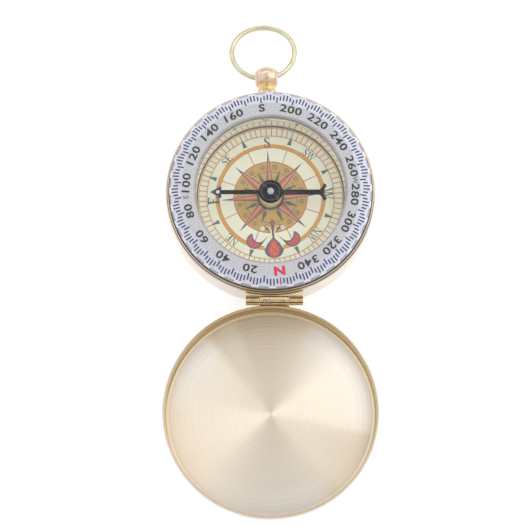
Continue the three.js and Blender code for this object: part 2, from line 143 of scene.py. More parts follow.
class Graph:
    """A node tree, with the kinds of node that the world and the materials share."""

    def __init__(self, tree):
        self.nodes, self.links = tree.nodes, tree.links

    def node(self, kind, **values):
        made = self.nodes.new("ShaderNode" + kind)
        for key, value in values.items():
            if hasattr(made, key):
                setattr(made, key, value)
            else:
                made.inputs[key.replace("_", " ")].default_value = value
        return made

    def join(self, output, socket):
        self.links.new(output, socket)

    def calculate(self, operation, *values):
        """A maths node. Each value is a float or another node's output."""
        made = self.node("Math", operation=operation)
        for socket, value in zip(made.inputs, values):
            if isinstance(value, float):
                socket.default_value = value
            else:
                self.join(value, socket)
        return made.outputs[0]

    def remap(self, value, low, high, to_low=0.0, to_high=1.0, **how):
        made = self.node("MapRange", **how)
        for socket, number in zip(made.inputs[1:5], (low, high, to_low, to_high)):
            socket.default_value = number
        self.join(value, made.inputs["Value"])
        return made.outputs["Result"]

    def around(self, y, x, stops):
        """A grey that follows (degrees from x towards y, level) stops, from 0 to 360 degrees."""
        turn = self.calculate("DIVIDE", self.calculate("ARCTAN2", y, x), 2 * math.pi)
        ramp = self.node("ValToRGB")
        self.join(self.calculate("FRACT", turn), ramp.inputs[0])
        elements = ramp.color_ramp.elements
        for degrees, _ in stops[1:-1]:
            elements.new(degrees / 360)
        for element, (_, level) in zip(elements, stops):
            element.color = (level, level, level, 1)
        return ramp.outputs["Color"]


# ---- Camera, light and floor ----

VIEW_ELEVATION_DEG = 76.0
VIEW_DISTANCE = 700.0
VIEW_TARGET = Vector((-1.2, -17.6, 10.0))
LENS_MM = 204.0
SENSOR_MM = 36.0

# The room's brightness at each angle from +X, round the direction in which the lid's flat floor
# mirrors the camera
ROOM_LEVELS = (
    (0, 0.8), (25, 0.82), (48, 1.05), (51, 0.54), (75, 0.49), (105, 0.47), (120, 0.46),
    (127, 0.4), (129, 1.06), (138, 0.96), (150, 0.9), (165, 0.7), (172, 0.62), (226, 0.55),
    (231, 0.62), (260, 0.72), (285, 0.76), (304, 0.72), (307, 0.78), (330, 0.66), (345, 0.54),
    (349, 0.48), (352, 0.8), (360, 0.8),
)
ROOM_LEVEL = 1.4
DARK_SPAN = (0.93, 0.985)  # the room darkens between these cosines of the angle from the camera
DARK_LEVEL = 0.55
ROOM_COLOUR = (1.0, 0.985, 0.96, 1)

FLOOR_HALF = 2500.0
FLOOR_Z = -0.02  # just clear of the underside
FLOOR_GLOW = 0.48
LIGHTS = (  # name, place, target, size, radiance
    ("light_left", (-520, -40, 520), (0, -20, 0), (560, 1250), 0.3),
    ("light_right", (520, 190, 520), (0, -20, 0), (560, 800), 0.7),
    ("light_far", (0, 760, 560), (0, 0, 0), (900, 420), 1.0),
)


def camera_back():
    """The direction from the compass to the camera."""
    tilt = math.radians(VIEW_ELEVATION_DEG)
    return Vector((0, -math.cos(tilt), math.sin(tilt)))


def make_camera():
    data = bpy.data.cameras.new("camera")
    data.lens = LENS_MM
    data.sensor_width = SENSOR_MM
    camera = bpy.data.objects.new("camera", data)
    bpy.context.collection.objects.link(camera)
    camera.location = (VIEW_TARGET + camera_back() * VIEW_DISTANCE) * MM
    camera.rotation_euler = camera_back().to_track_quat("Z", "Y").to_euler()
    bpy.context.scene.camera = camera


def softbox(name, place, target, size, radiance):
    """A rectangular area light of the given radiance at a place, aimed at a target."""
    data = bpy.data.lights.new(name, "AREA")
    data.shape = "RECTANGLE"
    data.size, data.size_y = (side * MM for side in size)
    data.energy = radiance * math.pi * data.size * data.size_y
    light = bpy.data.objects.new(name, data)
    bpy.context.collection.objects.link(light)
    light.location = Vector(place) * MM
    light.rotation_euler = (Vector(target) - Vector(place)).to_track_quat("-Z", "Y").to_euler()


def make_world():
    """A pale room: bright to the left and right, dimmer in front, behind and overhead, and darkest
    round the camera, where the photographer stands."""
    world = bpy.data.worlds.new("studio")
    world.use_nodes = True
    bpy.context.scene.world = world
    graph = Graph(world.node_tree)
    direction = graph.node("TexCoord").outputs["Generated"]

    def along(axis):
        made = graph.node("VectorMath", operation="DOT_PRODUCT")
        made.inputs[1].default_value = axis
        graph.join(direction, made.inputs[0])
        return made.outputs["Value"]

    back = camera_back()
    across = Vector((0, back.z, back.y))
    level = graph.around(along(across), along(Vector((1, 0, 0))), ROOM_LEVELS)
    shade = graph.remap(along(back), *DARK_SPAN, 1.0, DARK_LEVEL, interpolation_type="SMOOTHSTEP")
    strength = graph.calculate("MULTIPLY", graph.calculate("MULTIPLY", level, shade), ROOM_LEVEL)
    background = graph.nodes["Background"]
    background.inputs["Color"].default_value = ROOM_COLOUR
    graph.join(strength, background.inputs["Strength"])


def make_stage():
    """The white floor and the three lights."""
    corners = box(-FLOOR_HALF, -FLOOR_HALF, FLOOR_HALF, FLOOR_HALF)
    mesh = bpy.data.meshes.new("floor")
    mesh.from_pydata([(x * MM, y * MM, FLOOR_Z * MM) for x, y in corners], [], [(0, 1, 2, 3)])
    shader = Shader("floor_white", (0.82, 0.82, 0.82), 0.0, 0.9)
    shader.set("Emission Color", (1, 1, 1, 1)).set("Emission Strength", FLOOR_GLOW)
    mesh.materials.append(shader.material)
    add_object("floor", mesh)
    for light in LIGHTS:
        softbox(*light)


# ---- Materials ----


class Shader(Graph):
    """A principled material, whose textures follow the piece's own coordinates in millimetres."""

    def __init__(self, name, colour, metallic, roughness):
        self.material = bpy.data.materials.new(name)
        self.material.use_nodes = True
        super().__init__(self.material.node_tree)
        self.surface = self.nodes["Principled BSDF"]
        self.colour = colour
        self.set("Base Color", (*colour, 1)).set("Metallic", metallic).set("Roughness", roughness)

    def set(self, socket, value):
        self.surface.inputs[socket].default_value = value
        return self

    def coords(self, stretch=(1, 1, 1)):
        """Object coordinates in millimetres, scaled along each axis."""
        place = self.node("TexCoord")
        scale = self.node("VectorMath", operation="MULTIPLY")
        scale.inputs[1].default_value = [factor / MM for factor in stretch]
        self.join(place.outputs["Object"], scale.inputs[0])
        return scale.outputs[0]

    def radius(self, stretch=(1, 1, 0)):
        """Distance from the piece's own Z axis, or across the axes that stretch picks."""
        length = self.node("VectorMath", operation="LENGTH")
        self.join(self.coords(stretch), length.inputs[0])
        return length.outputs["Value"]

    def along(self, axis):
        """Distance along one of the piece's own axes."""
        split = self.node("SeparateXYZ")
        self.join(self.coords(), split.inputs[0])
        return split.outputs[axis]

    def sectors(self, stops):
        """A value that follows (degrees from +X, value) stops round the piece's own Z axis."""
        return self.around(self.along("Y"), self.along("X"), stops)

    def noise(self, scale, detail=3.0, stretch=(1, 1, 1)):
        """Noise with about one blob per 1/scale millimetres."""
        made = self.node("TexNoise", Scale=scale, Detail=detail)
        self.join(self.coords(stretch), made.inputs["Vector"])
        return made.outputs["Fac"]

    def rings(self, scale, detail=4.0):
        """Concentric lines round the Z axis, as turning or brushing leaves."""
        made = self.node("TexNoise", noise_dimensions="1D", Scale=scale, Detail=detail)
        made.inputs["Roughness"].default_value = 0.65
        self.join(self.radius(), made.inputs["W"])
        return made.outputs["Fac"]

    def both(self, first, second):
        return self.calculate("MULTIPLY", first, second)

    def tint(self, factor, colour):
        """Mixes the base colour so far towards another by a factor."""
        mix = self.node("Mix", data_type="RGBA")
        self.join(factor, mix.inputs["Factor"])
        base = self.surface.inputs["Base Color"]
        if base.is_linked:
            self.join(base.links[0].from_socket, mix.inputs["A"])
        else:
            mix.inputs["A"].default_value = (*self.colour, 1)
        mix.inputs["B"].default_value = (*colour, 1)
        self.join(mix.outputs["Result"], base)
        return self

    def mottle(self, noise, low, high, colour, most=1.0):
        """Tints the base colour, by at most so much, where a noise rises from low to high."""
        return self.tint(self.remap(self.noise(*noise), low, high, 0, most), colour)

    def rough(self, value, low, high):
        self.join(self.remap(value, 0.3, 0.7, low, high), self.surface.inputs["Roughness"])
        return self

    def bump(self, value, height):
        """Adds a bump of the given height in millimetres."""
        made = self.node("Bump", Strength=1.0, Distance=height * MM)
        self.join(value, made.inputs["Height"])
        normal = self.surface.inputs["Normal"]
        if normal.is_linked:
            self.join(normal.links[0].from_socket, made.inputs["Normal"])
        self.join(made.outputs["Normal"], normal)
        return self

    def worn(self, rough, low, high, bump, height):
        """Roughness from low to high by one noise, and a bump by another. Gives the material."""
        return self.rough(self.noise(*rough), low, high).bump(self.noise(*bump), height).material


def cached(function):
    """One material for each set of arguments."""
    made = {}

    def get(*arguments):
        if arguments not in made:
            made[arguments] = function(*arguments)
        return made[arguments]

    return get


EDGE_TINT = (0.32, 0.28, 0.18, 1)  # brass darkens towards a glancing angle


@cached
def polished_brass(name, colour, roughness):
    """Turned and polished brass: clouded tarnish, paler rubbed patches and fine wear."""
    shader = Shader(name, colour, 1.0, roughness)
    shader.set("Specular Tint", EDGE_TINT)
    darker = tuple(c * f for c, f in zip(colour, (0.84, 0.76, 0.62)))
    paler = tuple(min(1.0, c * f) for c, f in zip(colour, (1.04, 1.07, 1.16)))
    shader.mottle((0.35, 4), 0.45, 0.75, darker)
    shader.mottle((2.2, 5), 0.5, 0.8, paler, 0.6)
    return shader.worn((3.5, 6), roughness * 0.7, roughness * 1.5, (9.0, 3, (1, 1, 0.2)), 0.004)


@cached
def rose_brass():
    """The ball: a brown-gold middle, with painted reflections of a darker and then a pinker band at
    each side and of a golden neck.
    """
    shader = Shader("brass_rose_painted_reflections", (0.70, 0.56, 0.42), 1.0, 0.3)
    # Painted reflection: golden towards the neck, where the ball mirrors the collar.
    shader.tint(shader.remap(shader.along("Y"), -0.9, -1.9), (0.74, 0.50, 0.22))
    # Painted reflections: a darker band, then a pinker one where each side mirrors the white floor.
    side = shader.radius((1, 0, 0))
    shader.tint(shader.remap(side, 2.0, 2.15), (0.50, 0.37, 0.28))
    shader.tint(shader.remap(side, 2.2, 2.4), (0.66, 0.55, 0.50))
    shader.mottle((1.8, 5), 0.5, 0.75, (0.60, 0.45, 0.31), 0.4)
    return shader.worn((3.5, 6), 0.2, 0.36, (9.0, 3), 0.003)


@cached
def lacquered_brass():
    """The pillar's and hub's matt lacquered brass, which scatters light more than bare metal."""
    shader = Shader("brass_lacquered", (0.96, 0.93, 0.66), 0.35, 0.4)
    shader.mottle((0.9, 4), 0.45, 0.7, (0.90, 0.86, 0.57))
    return shader.worn((5.0, 4, (1, 1, 0.2)), 0.32, 0.5, (6.0, 3, (1, 1, 0.2)), 0.004)


def cup_brass(name, bore_r, floor_z, rim_z, hinge_shade_span, lip_r=None):
    """Thin-turned cup: pale and polished outside, darker gold on its inner wall by painted shade,
    and browner by painted shade on the part of its rim beside the hinge, which starts at the first
    distance along Y and is in full strength at the second. A painted highlight makes its floor and
    fillet paler, and a lip has a painted shadow line round its foot."""
    shader = Shader(name, (0.70, 0.64, 0.585), 1.0, 0.2)
    shader.mottle((0.35, 4), 0.45, 0.75, (0.66, 0.59, 0.52))
    shader.mottle((2.2, 5), 0.5, 0.8, (0.75, 0.70, 0.65), 0.6)
    radius, height = shader.radius(), shader.along("Z")
    # Painted shade: the inner wall is tinted a darker gold, as the inside of the cup falls in shade.
    inner = shader.remap(radius, bore_r + 0.4, bore_r + 0.01)
    above_floor = shader.remap(height, floor_z - 0.1, floor_z - 0.05)
    shader.tint(shader.both(inner, above_floor), (0.52, 0.38, 0.20))
    # Painted highlight: paler from the fillet inwards over the floor, which shows as a bright ring
    # where the floor curves up into the wall.
    fillet_highlight = shader.remap(radius, bore_r - 0.2, bore_r - 0.4)
    shader.tint(shader.both(fillet_highlight, above_floor), (0.84, 0.74, 0.56))
    # Painted shade: the rim beside the hinge is tinted browner.
    hinge_shade = shader.remap(shader.along("Y"), *hinge_shade_span, 0, 0.9)
    on_rim = shader.remap(height, rim_z - 0.3, rim_z - 0.2)
    shader.tint(shader.both(hinge_shade, on_rim), (0.49, 0.36, 0.19))
    if lip_r:
        # Painted shade: a dark line round the lip's foot, where it meets the shoulder.
        foot = shader.remap(radius, lip_r - 0.04, lip_r + 0.02)
        line = shader.remap(radius, lip_r + 0.2, lip_r + 0.12)
        shader.tint(shader.both(shader.both(foot, line), on_rim), (0.20, 0.14, 0.07))
    return shader.worn((3.5, 6), 0.14, 0.26, (5.0, 3, (1, 1, 0.2)), 0.002)


# How far the lid's spun face turns paler (painted highlight), and browner (painted shade), towards
# its edge, by degrees from +X
LID_PAINTED_SHEEN = (
    (0, 0.55), (20, 0.7), (42, 1), (54, 1), (70, 0), (128, 0), (133, 0.8), (140, 1), (150, 1),
    (160, 0.8), (180, 0), (220, 0), (238, 0.4), (270, 0.8), (294, 0.7), (310, 0), (346, 0),
    (352, 0.4), (360, 0.55),
)
LID_PAINTED_SHADE = (
    (0, 0), (60, 0), (66, 0.1), (80, 0.6), (90, 0.75), (108, 0.75), (113, 0.2), (120, 0.2),
    (125, 0.4), (129, 0), (180, 0.1), (210, 0.2), (222, 0), (316, 0), (336, 0.35), (347, 0.3),
    (350, 0), (360, 0),
)


@cached
def spun_brass():
    """Circular brushing across the lid's inside: fine rings that spread light along the radius,
    under painted highlight and shade in sectors that grow towards the edge.
    """
    shader = Shader("brass_spun", (0.88, 0.79, 0.67), 1.0, 0.45)
    outwards = shader.remap(shader.radius(), 7.0, 22.0)
    # Painted highlight: paler sectors, growing towards the edge.
    shader.tint(shader.both(shader.sectors(LID_PAINTED_SHEEN), outwards), (1.0, 0.94, 0.86))
    # Painted highlight: the same sectors whiten near the edge.
    edge_sheen = shader.remap(shader.radius(), 17.0, 21.5)
    shader.tint(shader.both(shader.sectors(LID_PAINTED_SHEEN), edge_sheen), (1.0, 1.0, 1.0))
    # Painted shade: browner sectors, growing towards the edge.
    shader.tint(shader.both(shader.sectors(LID_PAINTED_SHADE), outwards), (0.62, 0.50, 0.36))
    shader.tint(shader.remap(shader.rings(3.4), 0.42, 0.66, 0, 0.35), (0.80, 0.70, 0.56))
    shader.tint(shader.remap(shader.rings(1.7, 6), 0.5, 0.66, 0, 0.35), (0.94, 0.87, 0.77))
    shader.tint(shader.remap(shader.rings(8.0, 2), 0.5, 0.66, 0, 0.5), (0.76, 0.65, 0.51))
    shader.rough(shader.rings(5.0), 0.32, 0.4)
    shader.bump(shader.rings(7.0, 5), 0.004)
    shader.set("Anisotropic", 1.0).set("Anisotropic Rotation", 0.25)
    tangent = shader.node("Tangent", direction_type="RADIAL", axis="Z")
    shader.join(tangent.outputs[0], shader.surface.inputs["Tangent"])
    return shader.material


@cached
def satin_brass():
    """Hinge brass: rolled sheet with drawn lines, darker where solder has run, and with painted
    shade in the knuckles' seams and creases.
    """
    shader = Shader("brass_satin", (0.70, 0.53, 0.30), 1.0, 0.3)
    shader.mottle((1.1, 5), 0.46, 0.62, (0.54, 0.37, 0.17), 0.6)
    shader.mottle((4.0, 2, (0.1, 1, 1)), 0.5, 0.7, (0.86, 0.74, 0.53), 0.5)
    # Painted shade: dark brown wherever the surface sinks below the knuckle's round, in its seam and
    # crease.
    crease_shade = shader.remap(shader.radius((0, 1, 1)), KNUCKLE_R - 0.02, KNUCKLE_R - 0.16)
    shader.tint(crease_shade, (0.24, 0.15, 0.07))
    return shader.worn((4.0, 4, (0.3, 1, 1)), 0.18, 0.3, (3.0, 3, (0.1, 1, 1)), 0.004)


@cached
def solder():
    shader = Shader("solder", (0.50, 0.44, 0.34), 0.9, 0.45)
    shader.mottle((1.6, 5), 0.42, 0.6, (0.26, 0.21, 0.14))
    shader.mottle((6.0, 3), 0.55, 0.7, (0.82, 0.77, 0.66))
    return shader.worn((6.0, 4), 0.3, 0.65, (4.0, 4), 0.04)


@cached
def steel():
    shader = Shader("steel", (0.62, 0.62, 0.63), 1.0, 0.28)
    shader.mottle((1.5, 4), 0.45, 0.7, (0.48, 0.47, 0.46))
    return shader.worn((6.0, 4, (0.2, 1, 1)), 0.2, 0.4, (12.0, 3, (0.2, 1, 1)), 0.004)


@cached
def dark_steel():
    shader = Shader("steel_dark", (0.16, 0.16, 0.19), 1.0, 0.35)
    shader.mottle((1.5, 4), 0.45, 0.7, (0.07, 0.07, 0.09))
    return shader.worn((6.0, 4), 0.3, 0.5, (12.0, 3), 0.004)


@cached
def blued_steel():
    """The needle's black finish: a thin coat with a faint orange-peel and paler worn edges."""
    shader = Shader("needle_black", (0.008, 0.008, 0.016), 0.0, 0.38)
    shader.set("Specular IOR Level", 0.2)
    shader.mottle((1.6, 5), 0.5, 0.75, (0.016, 0.016, 0.03))
    edge = shader.node("NewGeometry").outputs["Pointiness"]
    shader.tint(shader.remap(edge, 0.53, 0.6, 0, 0.5), (0.16, 0.16, 0.2))
    return shader.worn((5.0, 4), 0.3, 0.5, (7.0, 3), 0.006)


@cached
def rubber():
    shader = Shader("rubber", (0.03, 0.03, 0.032), 0.0, 0.8)
    shader.mottle((2.5, 5), 0.45, 0.7, (0.055, 0.053, 0.05))
    return shader.worn((8.0, 3), 0.7, 0.95, (9.0, 4), 0.03)


@cached
def silicone():
    """The crystal's pale rubber seal."""
    shader = Shader("silicone", (0.62, 0.60, 0.56), 0.0, 0.5)
    shader.mottle((2.5, 5), 0.45, 0.7, (0.54, 0.52, 0.48))
    return shader.worn((8.0, 3), 0.4, 0.6, (9.0, 4), 0.01)


HAZE = (0.96, 0.92, 0.86)  # what the capsule's worn plastic scatters


def see_through(name, tint, roughness, clearest, mirror, milk=0.0):
    """Thin clear material: light passes straight through it. The share that it reflects rises from
    `clearest` face on to `mirror` edge on, and `milk` is the share that it scatters."""
    shader = Shader(name, tint, 0.0, roughness)
    shader.nodes.remove(shader.surface)
    clear = shader.node("BsdfTransparent", Color=(*tint, 1))
    gloss = shader.node("BsdfGlossy", Color=(*tint, 1))
    grain = shader.remap(shader.noise(1.2, 4), 0.3, 0.7, roughness * 0.6, roughness * 1.6)
    shader.join(grain, gloss.inputs["Roughness"])
    fresnel = shader.node("Fresnel", IOR=1.5)
    mix = shader.node("MixShader")
    shader.join(shader.remap(fresnel.outputs[0], 0.04, 0.25, clearest, mirror), mix.inputs[0])
    shader.join(clear.outputs[0], mix.inputs[1])
    shader.join(gloss.outputs[0], mix.inputs[2])
    made = mix.outputs[0]
    if milk:
        haze = shader.node("BsdfDiffuse", Color=(*HAZE, 1))
        cloudy = shader.node("MixShader", Fac=milk)
        shader.join(made, cloudy.inputs[1])
        shader.join(haze.outputs[0], cloudy.inputs[2])
        made = cloudy.outputs[0]
    shader.join(made, shader.nodes["Material Output"].inputs["Surface"])
    return shader.material


@cached
def crystal_clear():
    return see_through("crystal_clear", (0.995, 0.995, 0.99), 0.03, 0.015, 0.3)


@cached
def capsule_clear():
    """The capsule's wall mirrors nearly everything at a slant, as thick clear plastic does."""
    return see_through("capsule_clear", (1, 1, 1), 0.04, 0.8, 1.0, 0.14)


@cached
def bezel_plastic():
    """Silver-grey moulded plastic, with painted light: a cooler, paler painted sheen on the outer
    slope than on the number band, a painted highlight palest at the edge, and painted shade beneath
    the bumps. It is darker round the window."""
    shader = Shader("bezel_plastic", (0.50, 0.50, 0.54), 0.1, 0.3)
    # Painted sheen: the outer slope is tinted cooler and paler than the number band.
    outer = shader.remap(shader.radius(), SLOPE_START_R - 0.2, SLOPE_START_R + 0.5)
    shader.tint(outer, (0.56, 0.59, 0.73))
    # Painted highlight: palest towards the edge of the bumps.
    rim = shader.remap(shader.radius(), BEZEL_R - 0.4, BUMP_R)
    shader.tint(rim, (0.74, 0.74, 0.80))
    # Painted shade: darker beneath the bumps' top edge.
    under = shader.remap(shader.along("Z"), BEZEL_EDGE_Z - 0.36, BEZEL_EDGE_Z - 0.44)
    shader.tint(under, (0.36, 0.36, 0.43))
    window = shader.remap(shader.radius(), BEZEL_WINDOW_R + 0.5, BEZEL_WINDOW_R + 0.3)
    shader.tint(window, (0.36, 0.36, 0.38))
    shader.mottle((0.8, 5), 0.5, 0.8, (0.58, 0.58, 0.62), 0.5)
    shader.rough(shader.noise(3.0, 5), 0.2, 0.36)
    shader.bump(shader.noise(5.0, 5), 0.008)
    shader.set("Coat Weight", 0.5).set("Coat Roughness", 0.1)
    return shader.material


@cached
def card():
    """The dial's printed paper, cream with a green cast and a little mottle."""
    shader = Shader("dial_card_paper", (0.98, 0.98, 0.80), 0.0, 0.55)
    shader.mottle((0.5, 4), 0.4, 0.7, (0.96, 0.98, 0.86))
    shader.mottle((7.0, 5), 0.5, 0.8, (0.94, 0.92, 0.72), 0.5)
    return shader.worn((6.0, 4), 0.45, 0.65, (12.0, 3), 0.004)


INKS = {
    "apricot": (0.90, 0.80, 0.58),
    "black": (0.028, 0.028, 0.034),
    "cream": (0.95, 0.94, 0.78),
    "crimson": (0.60, 0.04, 0.06),
    "grey": (0.12, 0.12, 0.14),
    "letter": (0.13, 0.17, 0.19),
    "ochre": (0.66, 0.43, 0.15),
    "orange": (0.76, 0.42, 0.12),
    "orange_red": (0.86, 0.21, 0.11),
    "pink": (0.70, 0.12, 0.17),
    "red": (0.58, 0.03, 0.06),
    "rose": (0.72, 0.20, 0.17),
    "salmon": (0.80, 0.36, 0.28),
    "slate": (0.16, 0.19, 0.21),
    "slate_dark": (0.035, 0.037, 0.055),
    "slate_fleur": (0.15, 0.17, 0.20),
    "terracotta": (0.62, 0.24, 0.13),
    "umber": (0.16, 0.12, 0.10),
}


@cached
def ink(name):
    """Printing ink: slightly uneven cover, with specks of thin ink."""
    colour = INKS[name]
    shader = Shader("ink_" + name, colour, 0.0, 0.5)
    thin = tuple(c + (0.8 - c) * 0.22 for c in colour)
    shader.mottle((3.0, 6), 0.5, 0.8, thin, 0.8)
    shader.mottle((8.0, 4), 0.55, 0.75, tuple(c * 0.8 for c in colour), 0.5)
    return shader.worn((6.0, 4), 0.4, 0.62, (14.0, 3), 0.003)


@cached
def lume():
    shader = Shader("lume", (0.80, 0.84, 0.82), 0.0, 0.55)
    shader.mottle((5.0, 4), 0.45, 0.7, (0.72, 0.78, 0.80))
    return shader.worn((7.0, 4), 0.45, 0.7, (8.0, 4), 0.02)


@cached
def jewel():
    shader = Shader("jewel", (0.42, 0.44, 0.53), 0.0, 0.12)
    shader.mottle((2.0, 4), 0.45, 0.7, (0.56, 0.58, 0.66))
    shader.rough(shader.noise(4.0, 3), 0.08, 0.2)
    shader.set("Coat Weight", 1.0).set("IOR", 1.7)
    return shader.material


COLLAR_BRASS = ("brass_collar", (0.90, 0.78, 0.66), 0.16)
WIRE_BRASS = ("brass_wire", (0.62, 0.595, 0.44), 0.26)
PALE_BRASS = ("brass_pale", (0.92, 0.86, 0.56), 0.3)


# ---- Outlines ----


def arc(centre, radius, start_deg, end_deg, steps):
    """Points along an arc, from one angle to another."""
    for step in range(steps + 1):
        angle = math.radians(start_deg + (end_deg - start_deg) * step / steps)
        yield (centre[0] + radius * math.cos(angle), centre[1] + radius * math.sin(angle))


def box(x0, y0, x1, y1):
    """The outline of a rectangle between two corners."""
    return [(x0, y0), (x1, y0), (x1, y1), (x0, y1)]


def rounded(points, default=0.0, steps=4):
    """A closed outline with its corners rounded. A point's third number is its own radius."""
    made = []
    for index, point in enumerate(points):
        here = Vector(point[:2])
        radius = point[2] if len(point) > 2 else default
        to_last = Vector(points[index - 1][:2]) - here
        to_next = Vector(points[(index + 1) % len(points)][:2]) - here
        half = to_last.angle(to_next) / 2
        if radius == 0 or here.x == 0 or half > math.radians(88):
            made.append(tuple(here))
            continue
        reach = min(radius / math.tan(half), to_last.length * 0.45, to_next.length * 0.45)
        radius = reach * math.tan(half)
        middle = (to_last.normalized() + to_next.normalized()).normalized()
        centre = here + middle * (radius / math.sin(half))
        start = here + to_last.normalized() * reach - centre
        end = here + to_next.normalized() * reach - centre
        first = math.atan2(start.y, start.x)
        turn = (math.atan2(end.y, end.x) - first + math.pi) % (2 * math.pi) - math.pi
        degrees = math.degrees(first), math.degrees(first + turn)
        made.extend(arc(centre, radius, *degrees, steps))
    return made


# ---- Meshes ----

SHARP_DEG = 32  # edges sharper than this stay crisp


def lathe(outline, sides, shape=None):
    """Vertices and faces of a closed (radius, z) outline turned round Z. shape(radius, angle, z)
    gives the radius and height at an angle where the piece isn't round."""
    vertices, rows = [], []
    for radius, z in outline:
        if radius == 0:
            vertices.append((0, 0, z))
            rows.append([len(vertices) - 1] * sides)
            continue
        row = []
        for side in range(sides):
            angle = 2 * math.pi * side / sides
            here, height = shape(radius, angle, z) if shape else (radius, z)
            row.append(len(vertices))
            vertices.append((here * math.cos(angle), here * math.sin(angle), height))
        rows.append(row)
    faces = []
    for index, row in enumerate(rows):
        after = rows[(index + 1) % len(rows)]
        for side in range(sides):
            following = (side + 1) % sides
            corners = [row[side], row[following], after[following], after[side]]
            face = list(dict.fromkeys(corners))
            if len(face) > 2:
                faces.append(face)
    return vertices, faces


def prism(outline, low, high):
    """Vertices and faces of a flat outline raised from low to high. Either may be a function of
    (x, y)."""
    count = len(outline)
    vertices = [
        (x, y, height(x, y) if callable(height) else height)
        for height in (low, high)
        for x, y in outline
    ]
    sides = [[i, (i + 1) % count, count + (i + 1) % count, count + i] for i in range(count)]
    top, bottom = [count + i for i in range(count)], list(reversed(range(count)))
    pairs = [(outline[i - 1], outline[i]) for i in range(count)]
    area = sum(here[0] * after[1] - after[0] * here[1] for here, after in pairs)
    faces = [bottom, top, *sides]
    return vertices, faces if area > 0 else [face[::-1] for face in faces]


def moved(shape, matrix):
    vertices, faces = shape
    return [matrix @ Vector(v) for v in vertices], faces


def merged(shapes):
    vertices, faces = [], []
    for some, their_faces in shapes:
        start = len(vertices)
        vertices.extend(some)
        faces.extend([start + i for i in face] for face in their_faces)
    return vertices, faces


ALONG_X = Matrix.Rotation(math.pi / 2, 4, "Y")  # a Z-axis piece's z becomes x
ALONG_Y = Matrix.Rotation(-math.pi / 2, 4, "X")  # and y


def build_mesh(name, shape):
    """A mesh from a shape in millimetres, with its faces turned outwards."""
    vertices, faces = shape
    mesh = bpy.data.meshes.new(name)
    mesh.from_pydata([Vector(v) * MM for v in vertices], [], faces)
    fix = bmesh.new()
    fix.from_mesh(mesh)
    bmesh.ops.remove_doubles(fix, verts=fix.verts, dist=1e-8)
    bmesh.ops.recalc_face_normals(fix, faces=fix.faces)
    fix.to_mesh(mesh)
    fix.free()
    return mesh


def smooth(mesh):
    mesh.shade_smooth()
    mesh.set_sharp_from_angle(angle=math.radians(SHARP_DEG))


def add_object(name, mesh):
    made = bpy.data.objects.new(name, mesh)
    bpy.context.collection.objects.link(made)
    return made


def add_piece(name, shape, material, body, slot, centre=(0, 0, 0), stands_for=()):
    """An object from a shape in millimetres about its own centre, riding on a body."""
    mesh = build_mesh(name, shape)
    mesh.materials.append(material)
    smooth(mesh)
    piece = add_object(name, mesh)
    piece.location = Vector(centre) * MM
    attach(piece, body)
    if stands_for:
        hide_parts(*stands_for)
    return piece


def add_turned(name, outline, sides, material, body, slot, rounding=0.0, steps=4, **place):
    """A piece turned round Z from an outline, whose corners are rounded."""
    shape = lathe(rounded(outline, rounding, steps), sides)
    return add_piece(name, shape, material, body, slot, **place)


def combine(operation, piece, *shapes):
    """Joins more shapes, about the same centre, into a piece, or cuts them out of it."""
    for shape in shapes:
        tool = add_object("tool", build_mesh("tool", shape))
        tool.location = piece.location
        joiner = piece.modifiers.new("join", "BOOLEAN")
        joiner.operation = operation
        joiner.solver = "EXACT"
        joiner.object = tool
        bpy.context.view_layer.update()
        graph = bpy.context.evaluated_depsgraph_get()
        joined = bpy.data.meshes.new_from_object(piece.evaluated_get(graph))
        piece.modifiers.clear()
        piece.data = joined
        bpy.data.objects.remove(tool)
    smooth(piece.data)


def around(radius, degrees):
    angle = math.radians(degrees)
    return (radius * math.cos(angle), radius * math.sin(angle))


# ---- Case, base and capsule ----

RING_SIDES = 240
INNER_SIDES = 180
SMALL_SIDES = 72
BEZEL_SIDES = 720


def make_case():
    outline = [
        (0, 0), (CASE_R - 1.7, 0, 0.6), (CASE_R - 0.35, 0.55, 0.9), (CASE_R, 1.9, 1.2),
        (CASE_R, SHOULDER_Z, 0.12), (LIP_R, SHOULDER_Z, 0.08), (LIP_R, LIP_Z, 0.14),
        (CASE_BORE_R, LIP_Z, 0.14), (CASE_BORE_R, CASE_FLOOR, 0.6), (0, CASE_FLOOR),
    ]
    brass = cup_brass("brass_case", CASE_BORE_R, CASE_FLOOR, SHOULDER_Z, (-23.0, -23.9), LIP_R)
    add_turned("case_cup", outline, RING_SIDES, brass, "case", "brass", stands_for=["case_shell"])


def make_capsule():
    low, high = capsule_low.z, capsule_high.z
    groove = box(CAPSULE_R, SNAP_Z - GROOVE_HALF, CAPSULE_R - 0.4, SNAP_Z + GROOVE_HALF)
    outline = [
        (0, low), (CAPSULE_R, low, 0.3), (CAPSULE_R, FLANGE_Z, 0.15), (FLANGE_R, FLANGE_Z, 0.1),
        (FLANGE_R, FLANGE_Z + FLANGE_T, 0.1), (CAPSULE_R, FLANGE_Z + FLANGE_T, 0.1), *groove,
        (CAPSULE_R, high, 0.1), (CAPSULE_BORE_R, high, 0.1),
        (CAPSULE_BORE_R, low + CAPSULE_FLOOR_T, 0.15), (0, low + CAPSULE_FLOOR_T),
    ]
    add_turned(
        "capsule_wall", outline, INNER_SIDES, capsule_clear(), "case", "clear_plastic",
        stands_for=["capsule_cup"],
    )
    low, high = span("crystal")
    add_turned(
        "crystal_disc", box(0, low.z, high.x, high.z), INNER_SIDES, crystal_clear(),
        "case", "crystal", rounding=0.15, stands_for=["crystal"],
    )


# ---- Lid ----


